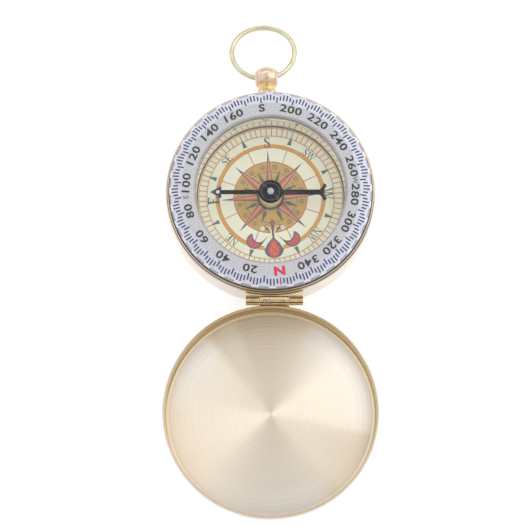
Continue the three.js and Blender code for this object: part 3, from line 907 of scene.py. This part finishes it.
def make_lid():
    """The cup, and a thin disc of its own in the floor for the circular brushing."""
    floor_r, low = LID_BORE_R - 0.75, LID_FLOOR - SPUN_T
    outline = [
        (0, 0), (LID_R - 2.0, 0, 1.2), (LID_R - 0.35, 0.6, 0.9), (LID_R, 1.9, 1.2),
        (LID_R, LID_DEPTH, 0.16), (LID_BORE_R, LID_DEPTH, 0.16), (LID_BORE_R, LID_FLOOR, 0.7),
        (floor_r, LID_FLOOR), (floor_r, low), (0, low),
    ]
    brass = cup_brass("brass_lid", LID_BORE_R, low, LID_DEPTH, (12.0, 20.0))
    add_turned(
        "lid_cup", outline, RING_SIDES, brass, "lid", "brass", steps=6, centre=LID_CENTRE,
        stands_for=["lid_shell"],
    )
    disc = [(0, low), (floor_r, low), (floor_r, LID_FLOOR, 0.05), (0, LID_FLOOR)]
    add_turned("lid_spun_face", disc, RING_SIDES, spun_brass(), "lid", "brass", centre=LID_CENTRE)


# ---- Hinge ----

SEAM_DEG = 130.0  # the rolled sheet's seam, from +Y over the top towards -Y
CREASE_DEG = 62.0  # where the sheet leaves the case and starts to roll
SOLDER_DEG = 106.0
LEAF_FOOT = 6.2 - HINGE.z
WEB_FOOT = 8.9 - HINGE.z
WEB_T = 0.55
SOLDER_SPOTS = (("left", -1.75, 1.4, 25), ("right", 1.9, 0.85, 14))  # x, half length, half angle


def knuckle(start, end, creased):
    """One rolled knuckle along X, with a seam where the sheet's edge meets it again."""
    length = end - start
    outside = [(KNUCKLE_R, 0, 0.12), (KNUCKLE_R, length, 0.12)]
    outline = rounded([(KNUCKLE_BORE_R, 0), *outside, (KNUCKLE_BORE_R, length)])
    dents = [(SEAM_DEG, 9.0, 0.34)] + ([(CREASE_DEG, 17.0, 0.36)] if creased else [])

    def rolled(radius, angle, z):
        if radius < KNUCKLE_R - 0.2:
            return radius, z
        if not creased and math.degrees(angle) > 160:
            radius = min(radius, KNUCKLE_R - 0.08)
        for place, half, depth in dents:
            away = abs((math.degrees(angle) - place + 180) % 360 - 180)
            radius -= depth * max(0.0, 1 - away / half) ** 0.7
        return radius, z

    sideways = Matrix(((0, 0, 1, 0), (1, 0, 0, 0), (0, 1, 0, 0), (0, 0, 0, 1)))
    place = Matrix.Translation((start, 0, 0)) @ sideways
    return moved(lathe(outline, SMALL_SIDES * 3, rolled), place)


def wall_strip(radius, away, half, low, high, side):
    """A leaf soldered to a round wall whose axis is `away` along Y from the hinge."""
    left, right = (
        side * (90 - math.degrees(math.asin((HINGE.x + x) / radius))) for x in (-half, half)
    )
    inner = arc((-HINGE.x, away), radius + 0.1, left, right, 24)
    outer = arc((-HINGE.x, away), radius + 0.42, right, left, 24)
    return prism([*inner, *outer], low, high)


def box_shape(low, high):
    """A plain block between two corners, as a prism."""
    return prism(box(*low[:2], *high[:2]), low[2], high[2])


def make_hinge():
    near = CENTRE_HALF + KNUCKLE_GAP
    shapes = [wall_strip(CASE_R, -HINGE.y, HINGE_HALF, LEAF_FOOT, WEB_FOOT + WEB_T, -1)]
    for start, end in ((-HINGE_HALF, -near), (near, HINGE_HALF)):
        shapes.append(box_shape((start + 0.02, -0.1, WEB_FOOT), (end - 0.02, 1.4, WEB_FOOT + WEB_T)))
        shapes.append(knuckle(start, end, True))
    piece = add_piece(
        "hinge_case_leaf", shapes[0], satin_brass(), "case", "hinge_brass", centre=HINGE,
        stands_for=["case_hinge_leaf"],
    )
    combine("UNION", piece, *shapes[1:])
    strip = wall_strip(LID_R, HINGE.y, CENTRE_HALF, LEAF_FOOT + 0.7, WEB_FOOT + WEB_T, 1)
    piece = add_piece(
        "hinge_lid_leaf", strip, satin_brass(), "lid", "hinge_brass", centre=HINGE,
        stands_for=["lid_hinge_leaf"],
    )
    half = CENTRE_HALF - 0.02
    web = box_shape((-half, -0.9, WEB_FOOT), (half, 0.1, WEB_FOOT + WEB_T))
    combine("UNION", piece, web, knuckle(-CENTRE_HALF, CENTRE_HALF, False))
    for side, *place in SOLDER_SPOTS:
        make_solder_spot("hinge_solder_" + side, *place)


def make_solder_spot(name, x, half, half_deg):
    """A thin lumpy run of solder wrapped over the lid's knuckle."""
    rows, columns, thickness = 14, 40, 0.14
    seed = Vector((x, 7.0, 3.0))

    def surface(u, v, lift):
        rim = max(0.0, 1 - (u * u + v * v))
        bumpy = 0.65 + 1.3 * noise.noise(Vector((u * 3.1, v * 3.1, 0)) + seed)
        angle = math.radians(SOLDER_DEG + half_deg * v)
        radius = KNUCKLE_R - 0.04 + lift * (0.04 + thickness * max(0.1, bumpy) * rim**0.4)
        return (x + half * u, radius * math.cos(angle), radius * math.sin(angle))

    vertices, faces = [], []
    for lift in (1, 0):
        for row in range(rows + 1):
            for column in range(columns):
                angle = 2 * math.pi * column / columns
                spoke = Vector((math.cos(angle), math.sin(angle), 0))
                reach = row / rows * (0.9 + 0.3 * noise.noise(spoke * 2.2 + seed))
                here = surface(reach * spoke.x, reach * spoke.y, lift if row < rows else 0.5)
                vertices.append(here)
    layer = (rows + 1) * columns
    for first in range(0, 2 * layer, columns):
        if first in (layer - columns, 2 * layer - columns):
            continue
        for column in range(columns):
            here, after = first + column, first + (column + 1) % columns
            faces.append([here, after, columns + after, columns + here])
    add_piece(name, (vertices, faces), solder(), "lid", "hinge_brass", centre=HINGE)


# ---- Pendant and bow ----

MOUTH_R = 1.45  # the bow's hole where it meets the ball's surface
THROAT_R = 0.78
BALL_STRETCH = 1.12  # the ball is longer along the bow's hole


def make_pendant():
    """The ball is turned about the bow's hole, with a neck below that flares into the collar."""
    edge = math.degrees(math.asin(MOUTH_R / BALL_R))
    mouth_x = BALL_STRETCH * BALL_R * math.cos(math.radians(edge))
    ball_arc = arc((0, 0), BALL_R, edge - 90, 90 - edge, 40)
    face = [(radius, x * BALL_STRETCH) for radius, x in ball_arc]
    flare_r, flare_x = THROAT_R + 0.42, mouth_x - 0.5
    profile = [(*face[0], 0.07), *face[1:-1], (*face[-1], 0.07)]
    profile += [(flare_r, flare_x, 0.2), (THROAT_R, 0, 0.5), (flare_r, -flare_x, 0.2)]
    ball = moved(lathe(rounded(profile), SMALL_SIDES * 2), PENDANT_TURN @ ALONG_X)
    piece = add_piece(
        "pendant_ball_polished", ball, rose_brass(), "case", "rose_brass", centre=BALL,
        stands_for=["pendant_ball"],
    )
    waist = [(2.33, -1.62), (2.24, -1.9), (2.14, -2.25), (2.06, -2.6), (2.03, -2.9), (2.08, -3.2)]
    neck = [(0, -3.2), *reversed(waist), (0, -1.62)]
    combine("UNION", piece, moved(lathe(neck, SMALL_SIDES * 2), PENDANT_TURN @ ALONG_Y))
    collar = [(2.66, -4.58, 0.1), (2.64, -4.3, 0.2), (2.36, -3.74, 0.6), (2.12, -3.26, 0.08)]
    collar = rounded([(0.8, -4.58), *collar, (0.8, -3.26)])
    add_piece(
        "pendant_collar_polished", moved(lathe(collar, SMALL_SIDES * 2), PENDANT_TURN @ ALONG_Y),
        polished_brass(*COLLAR_BRASS), "case", "rose_brass", centre=BALL,
        stands_for=["pendant_collar"],
    )


def make_bow():
    """A closed ring of wire through the ball, lying back on the table and slipped a little round."""
    ring = [(BOW_R + x, z) for x, z in arc((0, 0), BOW_WIRE_R, 0, 360, 28)][:-1]

    def drawn(radius, angle, z):
        return radius + 0.02 * math.sin(3 * angle), z

    tilt = PENDANT_TURN @ Matrix.Rotation(math.radians(-BOW_DROOP_DEG), 4, "X")
    slip = Matrix.Rotation(math.radians(BOW_SLIP_DEG), 4, "Z")
    shape = moved(lathe(ring, RING_SIDES, drawn), tilt @ slip @ Matrix.Translation((0, BOW_R, 0)))
    add_piece(
        "bow_wire", shape, polished_brass(*WIRE_BRASS), "bow", "pale_brass", centre=BALL,
        stands_for=["bow_ring"],
    )


# ---- Pivot and needle ----

PIN_BORE_R = 0.41
PIN_FOOT_Z = 7.3
HUB_BORE_R = 1.1
CAP_GROOVE_DEPTH = 0.14
JEWEL_CUP_Z = 11.0  # the deepest point of the cup that rides on the pin


def make_pivot():
    low, high = PILLAR_LOW.z, PILLAR_HIGH.z
    collar_z = DIAL_Z + 0.05
    outline = [
        (0, low), (0.9, low), (0.9, collar_z), (PILLAR_HIGH.x, collar_z, 0.1),
        (PILLAR_HIGH.x, high, 0.25), (PIN_BORE_R, high), (PIN_BORE_R, PIN_FOOT_Z), (0, PIN_FOOT_Z),
    ]
    add_turned(
        "pivot_pillar_turned", outline, SMALL_SIDES, lacquered_brass(), "case", "pale_brass",
        stands_for=["pivot_pillar"],
    )
    low, high = span("needle_hub")
    add_turned(
        "needle_hub_turned", box(HUB_BORE_R, low.z, high.x, high.z), SMALL_SIDES, lacquered_brass(),
        "needle", "pale_brass", rounding=0.08, stands_for=["needle_hub"],
    )


def pointer_half():
    """One long edge of the pointer, tip to tail, with +X towards the tip."""
    reach, tail = -POINTER_LOW.x, POINTER_HIGH.x
    half = [(reach, 0), (reach - 2.5, 1.5, 0.12), (reach - 2.55, 0.48, 0.05), (2.6, 0.5)]
    half += list(arc((0, 0), 2.65, 10.9, 167.4, 14))
    half += [(1.9 - tail, 0.6, 0.35), (1.35 - tail, 1.25, 0.3)]
    half += list(arc((0.85 - tail, 1.55), 0.5, 75, 215, 9))
    half += [(0.72 - tail, 0.95, 0.15), (0.95 - tail, 0, 0.2)]
    return half


def plate_with_bevel(outline, low, high, bevel):
    """A flat plate whose top edge is bevelled, as three stacked rings of the same outline."""
    inner = inset(outline, bevel)
    count = len(outline)
    vertices = [(x, y, low) for x, y in outline]
    vertices += [(x, y, high - bevel) for x, y in outline]
    vertices += [(x, y, high) for x, y in inner]
    faces = [list(reversed(range(count))), [2 * count + i for i in range(count)]]
    for level in (0, count):
        for i in range(count):
            after = (i + 1) % count
            faces.append([level + i, level + after, level + count + after, level + count + i])
    return vertices, faces


def inset(outline, distance):
    """The outline moved inwards; the outline runs anticlockwise."""
    made = []
    for index, point in enumerate(outline):
        here = Vector(point)
        before = (here - Vector(outline[index - 1])).normalized()
        after = (Vector(outline[(index + 1) % len(outline)]) - here).normalized()
        normal = Vector((-(before + after).y, (before + after).x))
        if normal.length < 1e-6:
            made.append(tuple(here))
            continue
        normal.normalize()
        side = Vector((-before.y, before.x))
        made.append(tuple(here + normal * min(distance / max(normal.dot(side), 0.35), distance * 2)))
    return made


def make_needle():
    half = pointer_half()
    mirrored = [(p[0], -p[1], *p[2:]) for p in reversed(half[1:-1])]
    low, high = POINTER_LOW.z, POINTER_HIGH.z
    plate = plate_with_bevel(rounded([*half, *mirrored], steps=3), low, high, 0.08)
    piece = add_piece(
        "needle_arrow", moved(plate, Matrix.Rotation(math.pi, 4, "Z")), blued_steel(),
        "needle", "black_steel", stands_for=["needle_pointer"],
    )
    jewel_low, jewel_high = span("needle_jewel")
    bore = jewel_high.x + 0.06
    hole = list(arc((0, 0), bore, 0, 360, 48))[:-1]
    combine("DIFFERENCE", piece, prism(hole, low - 0.1, high + 0.1))
    low, high, radius = CAP_LOW.z, CAP_HIGH.z, CAP_HIGH.x
    groove_z = high - CAP_GROOVE_DEPTH
    outline = [
        (bore, low), (radius, low, 0.08), (radius, high, 0.2), (2.28, high, 0.05),
        (2.2, groove_z, 0.03), (2.0, groove_z, 0.03), (1.92, high, 0.05), (bore, high, 0.1),
    ]
    add_turned(
        "needle_cap_disc", outline, SMALL_SIDES, blued_steel(), "needle", "black_steel",
        stands_for=["needle_cap"],
    )
    ring = box(2.02, high - 0.15, 2.18, high - 0.1)
    add_turned("needle_cap_ring", ring, SMALL_SIDES, dark_steel(), "needle", "steel")
    low, high, radius = jewel_low.z, jewel_high.z, jewel_high.x
    outline = [(0, JEWEL_CUP_Z), (0.62, low), (radius, low), *dome(radius, high - 0.4, 0.4)]
    add_piece(
        "needle_jewel_dome", lathe(outline, SMALL_SIDES), jewel(), "needle", "jewel",
        stands_for=["needle_jewel"],
    )
    add_lume("needle_tip_dot", "needle_tip_lume", "needle")


def dome(radius, z, height):
    """The outline of a dome, from its foot to its top on the axis."""
    steps = (0.0, 0.3, 0.6, 0.9, 1.2)
    return [*[(radius * math.cos(a), z + height * math.sin(a)) for a in steps], (0, z + height)]


def add_lume(name, node, body):
    """A dab of luminous paint, slightly domed."""
    low, high = span(node)
    centre = (low + high) / 2
    shape = lathe([(0, 0), *dome((high.x - low.x) / 2, 0, high.z - low.z)], 32)
    centre.z = low.z
    add_piece(name, shape, lume(), body, "lume", centre=centre, stands_for=[node])


# ---- Bezel ----

BUMP_FOOT_R = 21.9  # the ring is round inside this radius
INK_T = 0.012  # thickness of a printed layer
MARK_HALF = 0.165
MARK_SINK = 0.005  # the marks start this far inside the plastic
WORD_SINK = 0.002
DIGIT_R = 19.74
DIGIT_HEIGHT = 1.88


def bump(degrees):
    """0 between the grip bumps and 1 on them; the bumps sit between the ten-degree marks."""
    away = abs((degrees - BEZEL_NORTH_DEG + 90 + 5) % 10 - 5)
    return min(1.0, max(0.0, (away - 2.5) / 0.8)) ** 0.7


def make_bezel():
    """The ring is cut back between its bumps, most of all along its top edge."""

    def shape(radius, angle, z):
        if radius <= BUMP_FOOT_R:
            return radius, z
        valley = 1 - bump(math.degrees(angle))
        out = (radius - BUMP_FOOT_R) / (BUMP_R - BUMP_FOOT_R)
        cut = (BUMP_R - BEZEL_R) * valley if z > BEZEL_EDGE_Z - 0.48 else 0.0
        return radius - cut * out, z - 0.12 * valley * max(0.0, out - 0.5)

    crystal_top = span("crystal")[1].z + 0.1
    groove = box(BEZEL_BORE_R, SNAP_Z + GROOVE_HALF, BEZEL_BORE_R + 0.35, SNAP_Z - GROOVE_HALF)
    outline = [
        (BEZEL_BORE_R, BEZEL_Z), (BUMP_R, BEZEL_Z, 0.15),
        (BUMP_R, BEZEL_EDGE_Z - 0.54), (BUMP_R, BEZEL_EDGE_Z - 0.42), (BUMP_R, BEZEL_EDGE_Z, 0.3),
        (23.0, bezel_surface(23.0, 0)), (22.4, bezel_surface(22.4, 0)),
        (SLOPE_START_R, BEZEL_TOP_Z, 0.3), (BEZEL_WINDOW_R + 0.45, BEZEL_TOP_Z, 0.08),
        (BEZEL_WINDOW_R, BEZEL_TOP_Z - 0.35, 0.08),
        (BEZEL_WINDOW_R, crystal_top), (BEZEL_BORE_R, crystal_top), *groove,
    ]
    add_piece(
        "bezel_moulding", lathe(rounded(outline), BEZEL_SIDES, shape), bezel_plastic(), "bezel",
        "bezel_plastic", stands_for=["bezel_ring"],
    )


def bezel_facing(value):
    """A reading on the bezel as an angle from +X."""
    return -90 + BEZEL_NORTH_DEG - value


def print_bezel(name, shapes, ink_name):
    add_piece(name, merged(shapes), ink(ink_name), "bezel", "bezel_plastic")


def bar(direction_deg, start, end, half):
    """A straight bar lying along a direction from the centre."""
    along = Vector(around(1, direction_deg))
    across = Vector((-along.y, along.x))
    return [tuple(along * r + across * w) for r, w in box(start, -half, end, half)]


def mark_ends(value):
    """The radii that a reading's mark runs between. The marks on the bumps run further out."""
    if value == 0:
        return 20.8, 23.0
    if value % 10 == 0:
        return 20.95, 22.4
    return 21.6, 23.15 if value % 10 in (4, 6) else 22.7


def bezel_mark(value):
    """A mark that follows the bezel's face."""
    return prism(
        bar(bezel_facing(value), *mark_ends(value), MARK_HALF),
        lambda x, y: bezel_surface(x, y) - MARK_SINK,
        lambda x, y: bezel_surface(x, y) + INK_T,
    )


def make_bezel_scale():
    """A mark every two degrees, longer every ten, running out onto the bumps."""
    marks = [bezel_mark(value) for value in range(0, 360, 2)]
    print_bezel("bezel_marks", marks[1:], "slate_dark")
    print_bezel("bezel_zero_mark", marks[:1], "red")


def text_shape(text, height, bold, spacing=1.0, widen=1.0):
    """A word in the built-in plain type, centred, as thin plates with the given letter height."""
    data = bpy.data.curves.new("text", "FONT")
    data.body = text
    data.align_x = "CENTER"
    data.size = 1.0
    data.offset = bold
    data.space_character = spacing
    data.extrude = 0.5
    data.resolution_u = 4  # finer outlines cross themselves once they are emboldened
    holder = bpy.data.objects.new("text", data)
    bpy.context.collection.objects.link(holder)
    bpy.context.view_layer.update()
    graph = bpy.context.evaluated_depsgraph_get()
    mesh = bpy.data.meshes.new_from_object(holder.evaluated_get(graph))
    points = [v.co.copy() for v in mesh.vertices]
    faces = [list(face.vertices) for face in mesh.polygons]
    bpy.data.objects.remove(holder)
    low = Vector([min(p[i] for p in points) for i in range(3)])
    high = Vector([max(p[i] for p in points) for i in range(3)])
    scale = height / (high.y - low.y)
    middle = (low + high) / 2
    sizes = (scale * widen, scale, INK_T)
    middle.z = -0.5
    return [[(p[i] - middle[i]) * sizes[i] for i in range(3)] for p in points], faces


def upright(direction_deg, radius, z):
    """Places a word at a radius, its letters' tops pointing outwards."""
    x, y = around(radius, direction_deg)
    turn = Matrix.Rotation(math.radians(direction_deg - 90), 4, "Z")
    return Matrix.Translation((x, y, z)) @ turn


def bezel_word(text, value, out, *style):
    """A word at a reading of the bezel, centred so far outside the numbers' circle."""
    place = upright(bezel_facing(value), DIGIT_R + out, BEZEL_TOP_Z - WORD_SINK)
    return moved(text_shape(text, *style), place)


def make_bezel_numbers():
    numbers = [
        bezel_word(str(value), value, 0, DIGIT_HEIGHT, 0.026, 1.1, 1.32)
        for value in range(20, 360, 20)
        if value != 180
    ]
    numbers.append(bezel_word("S", 180, 0, DIGIT_HEIGHT, 0.03, 1, 1.3))
    sides = [bezel_word(letter, value, 0.1, 1.15, 0.02) for letter, value in (("E", 90), ("W", 270))]
    print_bezel("bezel_numbers", numbers, "black")
    print_bezel("bezel_east_west", sides, "grey")
    print_bezel("bezel_north", [bezel_word("N", 0, 0.1, 2.2, 0.055, 1, 1.28)], "red")


# ---- Dial ----

CARDINALS = (90, 180, 270)  # the fleur takes the place of N's point
DIAGONALS = (45, 135, 225, 315)
BETWEEN = [22.5 + 45 * index for index in range(8)]
LAYER_STEP = 0.004  # each layer of print stands this much above the one below
BOXES = 80
SCALE_R = 14.98  # the dial's fine scale runs from here
SCALE_END_R = 16.9  # to here
SPOKE_R = 12.1  # the thin spokes and the circle at their ends
OCHRE_R = 8.62
STUD_R = 7.4  # the ochre disc's ring of small circles
LETTER_GAP = 0.08  # between the letters of a word, for letters one unit tall


class Print:
    """Flat printed shapes of one ink on the dial. Bearings run clockwise from the dial's N."""

    def __init__(self, name, ink_name, level):
        self.name, self.material, self.shapes = name, ink(ink_name), []
        self.low = DIAL_Z + LAYER_STEP * level

    def add(self, outline):
        self.shapes.append(prism(list(outline), self.low, self.low + INK_T))

    def ring(self, inner, outer, centre=(0, 0), sides=120):
        shape = lathe(box(inner, self.low, outer, self.low + INK_T), sides)
        self.shapes.append(moved(shape, Matrix.Translation((*centre, 0))))

    def finish(self):
        add_piece(self.name, merged(self.shapes), self.material, "case", "dial_print")


def facing(bearing):
    """A bearing on the dial as an angle from +X."""
    return -90 + DIAL_NORTH_DEG - bearing


def local(bearing, points):
    """Points given as (across to the right, outwards) at a bearing, as seen with N at the bottom."""
    along = Vector(around(1, facing(bearing)))
    across = Vector((-along.y, along.x))
    return [tuple(along * out + across * right) for right, out in points]


def both_sides(points):
    """The outline that one edge makes with its mirror image, in (right, outwards) points."""
    return [*[(-x, y) for x, y in points], *reversed(points)]


def stroke(points, widths):
    """The outline of a line through the points, with a width at each."""
    left, right = [], []
    for index, point in enumerate(points):
        before = Vector(points[max(index - 1, 0)])
        after = Vector(points[min(index + 1, len(points) - 1)])
        along = (after - before).normalized()
        side = Vector((-along.y, along.x)) * widths[index] / 2
        left.append(tuple(Vector(point) + side))
        right.append(tuple(Vector(point) - side))
    return [*left, *reversed(right)]


def serif_letter(letter):
    """Outlines of a book-face capital one unit tall, and its width."""
    if letter == "N":
        diagonal = [(0.06, 1), (0.22, 1), (0.8, 0), (0.7, 0)]
        feet = [box(0, 0, 0.28, 0.05), box(0, 0.95, 0.2, 1), box(0.58, 0.95, 0.88, 1)]
        return [box(0.11, 0, 0.17, 1), box(0.72, 0, 0.78, 1), diagonal, *feet], 0.88
    if letter == "E":
        arms = [box(0, 0.92, 0.6, 1), box(0.2, 0.47, 0.48, 0.56), box(0, 0, 0.64, 0.08)]
        ends = [[(0.62, 1), (0.5, 0.95), (0.62, 0.74)], [(0.66, 0), (0.52, 0.04), (0.66, 0.3)]]
        return [box(0.1, 0, 0.25, 1), *arms, *ends], 0.68
    if letter == "W":
        strokes = [
            [(0.04, 1), (0.18, 1), (0.38, 0), (0.32, 0)],
            [(0.5, 1), (0.56, 1), (0.38, 0), (0.33, 0)],
            [(0.46, 1), (0.6, 1), (0.8, 0), (0.74, 0)],
            [(0.98, 1), (1.03, 1), (0.8, 0), (0.75, 0)],
        ]
        serifs = [box(-0.04, 0.95, 0.27, 1), box(0.38, 0.95, 0.68, 1), box(0.88, 0.95, 1.13, 1)]
        return [*strokes, *serifs], 1.1
    upper = list(arc((0.3, 0.76), 0.2, 20, 250, 12))
    lower = list(arc((0.27, 0.25), 0.22, 70, -160, 12))
    spine = [*upper, *lower]
    count = len(spine)
    widths = [0.05 + 0.11 * math.sin(math.pi * i / (count - 1)) ** 2 for i in range(count)]
    upper_tip = [(0.47, 0.98), (0.51, 0.98), (0.5, 0.7), (0.47, 0.78)]
    lower_tip = [(0.05, 0.02), (0.01, 0.02), (0.02, 0.34), (0.06, 0.24)]
    return [stroke(spine, widths), upper_tip, lower_tip], 0.55


def print_word(layer, word, bearing, radius, height):
    """A word across a bearing, its letters' tops pointing outwards."""
    letters = [serif_letter(letter) for letter in word]
    total = sum(width for _, width in letters) + LETTER_GAP * (len(word) - 1)
    start = -total / 2
    for outlines, width in letters:
        for outline in outlines:
            points = [((start + x) * height, radius + (y - 0.5) * height) for x, y in outline]
            layer.add(local(bearing, [(-right, out) for right, out in points]))
        start += width + LETTER_GAP


def make_dial_scale():
    """Eighty boxes round the rim, between two thin circles, on a warmer band."""
    band = Print("dial_scale_band", "apricot", 1)
    band.ring(SCALE_R, DIAL_R - 0.02)
    boxes = Print("dial_scale_boxes", "cream", 2)
    pitch = 360 / BOXES
    for index in range(BOXES):
        middle = facing(pitch * (index + 0.5))
        inner_arc = arc((0, 0), SCALE_R + 0.22, middle - 1.65, middle + 1.65, 3)
        outer_arc = arc((0, 0), SCALE_END_R - 0.16, middle + 1.7, middle - 1.7, 3)
        boxes.add([*inner_arc, *outer_arc])
    # Painted shadow: a dark ring round the dial's edge, where the capsule wall meets the card.
    edge = Print("dial_edge_painted_shadow", "umber", 2)
    edge.ring(DIAL_R - 0.16, DIAL_R - 0.01)
    lines = Print("dial_lines", "terracotta", 3)
    for radius, width in ((SCALE_R, 0.14), (SCALE_END_R, 0.12), (OCHRE_R, 0.26), (SPOKE_R, 0.14)):
        lines.ring(radius - width / 2, radius + width / 2)
    for index in range(BOXES):
        lines.add(bar(facing(pitch * index), SCALE_R, SCALE_END_R, 0.07))
    for bearing in BETWEEN:
        lines.add(bar(facing(bearing), OCHRE_R, SPOKE_R, 0.09))
    for layer in (band, boxes, edge, lines):
        layer.finish()


def make_dial_rose():
    """The orange ring, the ochre disc and its ornaments, and the sixteen points."""
    ring = Print("dial_orange_ring", "orange", 1)
    ring.ring(12.15, 13.0)
    ochre = Print("dial_ochre_disc", "ochre", 1)
    ochre.ring(1.1, OCHRE_R)
    slate = Print("dial_slate", "slate", 4)
    slate.ring(1.1, 3.15)
    slate.ring(6.14, 6.26)
    for index in range(16):
        centre = around(STUD_R, facing(11.25 + 22.5 * index))
        slate.ring(0.5, 0.62, centre, 24)
        slate.ring(0.18, 0.32, centre, 16)
    rose = Print("dial_points_rose", "rose", 5)
    light = Print("dial_points_salmon", "salmon", 5)
    for group, tip, half in ((CARDINALS, 11.7, 0.85), (DIAGONALS, 11.2, 1.05)):
        for bearing in group:
            slate.add(local(bearing, [(-half, 2.9), (half, 2.9), (0, tip)]))
            inner, reach = half * 0.66, 8.9
            rose.add(local(bearing, [(0, 3.1), (inner, 3.1), (0.1, reach), (0, reach)]))
            light.add(local(bearing, [(0, 3.1), (0, reach), (-0.1, reach), (-inner, 3.1)]))
    for bearing in BETWEEN:
        slate.add(local(bearing, [(0, 3.2), (0.46, 4.4), (0, 6.95), (-0.46, 4.4)]))
        needle = [(0.5, 13.45), (0.2, 14.9), (0.07, 15.4), (0.06, 16.6)]
        slate.add(local(bearing, both_sides(needle)))
    slate.add(local(0, both_sides([(0.45, 16.35), (0.1, 15.95), (0.1, 15.4)])))
    for layer in (ring, ochre, slate, rose, light):
        layer.finish()


def crescent(side, grow):
    """One curled side petal of the fleur, in (right, outwards) points; grow is how far its edge
    stands out from the filled part."""
    outer = arc((4.45, 10.4), 1.55 + grow, 158 - 8 * grow, -62 - 40 * grow, 18)
    inner = arc((3.3, 9.35), 1.78 - grow, 18 - 22 * grow, 128 + 10 * grow, 12)
    tail = [(1.05, 9.2)] if grow else []
    return [(side * x, y) for x, y in [*outer, *inner, *tail]]


def drop(top, bottom, widest, half):
    """A teardrop between two radii, pointed at the top and round at the bottom."""
    round_end = [(half * x, widest + (bottom - widest) * y) for x, y in arc((0, 0), 1, 0, 180, 16)]
    waist = widest - (widest - top) * 0.52
    return [*round_end, (-half * 0.62, waist), (-0.12, top), (0.12, top), (half * 0.62, waist)]


def make_dial_fleur():
    """The ornament at N: a teardrop with a plain N, a stem with a diamond, and two curled petals."""
    edge = Print("dial_fleur_edge", "slate_fleur", 6)
    pink = Print("dial_fleur_pink", "pink", 7)
    pale = Print("dial_fleur_cream", "cream", 5)
    warm = Print("dial_fleur_orange", "orange_red", 8)
    letter = Print("dial_fleur_letter", "crimson", 9)
    edge.add(local(0, drop(9.8, 14.8, 12.7, 2.25)))
    pink.add(local(0, drop(10.3, 14.55, 12.7, 1.4)))
    warm.add(local(0, drop(11.1, 14.1, 12.8, 0.95)))
    edge.add(local(0, both_sides([(0.27, 7.2), (0.24, 10.0)])))
    edge.add(local(0, [(0, 5.3), (0.72, 6.3), (0, 7.5), (-0.72, 6.3)]))
    pink.add(local(0, [(0, 5.75), (0.4, 6.3), (0, 6.95), (-0.4, 6.3)]))
    for side in (-1, 1):
        bract = ((0.2, 9.0), (0.55, 9.1), (2.3, 12.2), (1.9, 12.6))
        sweep = ((0.35, 8.9), (0.5, 8.0), (0.9, 7.3), (1.5, 6.9))
        leaf = ((0.75, 8.5), (1.1, 7.7), (1.9, 7.5), (2.5, 7.9))
        bract, sweep, leaf = ([(side * x, y) for x, y in points] for points in (bract, sweep, leaf))
        pale.add(local(0, bract))
        pale.add(local(0, stroke(sweep, [0.3, 0.22, 0.2, 0.1])))
        edge.add(local(0, stroke(leaf, [0.12, 0.4, 0.45, 0.1])))
        edge.add(local(0, crescent(side, 0.36)))
        pink.add(local(0, crescent(side, 0.0)))
    print_word(letter, "N", 0, 12.75, 1.5)
    for layer in (edge, pink, pale, warm, letter):
        layer.finish()


def make_dial_letters():
    letters = Print("dial_letters", "letter", 10)
    for word, bearing in (("E", 90), ("S", 180), ("W", 270)):
        print_word(letters, word, bearing, 13.45, 2.6)
    for word, bearing in (("NE", 45), ("SE", 135), ("SW", 225), ("NW", 315)):
        print_word(letters, word, bearing, 13.75, 1.8)
    letters.finish()


def make_dial():
    """The card and all that is printed on it, with the two dabs of luminous paint."""
    hole, low = 1.0, dial_low.z
    outline = [(hole, low), (DIAL_R, low, 0.03), (DIAL_R, DIAL_Z, 0.03), (hole, DIAL_Z)]
    add_turned(
        "dial_paper", outline, INNER_SIDES, card(), "case", "dial_print", stands_for=["dial_card"]
    )
    make_dial_scale()
    make_dial_rose()
    make_dial_fleur()
    make_dial_letters()
    for side in ("left", "right"):
        add_lume("dial_dot_" + side, "dial_lume_dot_" + side, "case")


# ---- CAD nodes that are shown as they are ----


def dress_cad_nodes():
    """A material for each CAD node that nothing stands for."""
    materials = {
        "base_pad": rubber(),
        "hinge_pin": steel(),
        "pendant_screw": steel(),
        "dial_base_plate": polished_brass(*PALE_BRASS),
        "crystal_gasket": silicone(),
        "pivot_pin": steel(),
        "bezel_spring_washer": steel(),
        "bezel_snap_ring": steel(),
    }
    for name, material in materials.items():
        mesh = frame["nodes"][name].data
        mesh.materials.clear()
        mesh.materials.append(material)


bpy.context.scene.view_settings.view_transform = "Standard"
make_camera()
make_world()
make_stage()
make_case()
make_capsule()
make_lid()
make_hinge()
make_pendant()
make_bow()
make_pivot()
make_needle()
make_bezel()
make_bezel_scale()
make_bezel_numbers()
make_dial()
dress_cad_nodes()
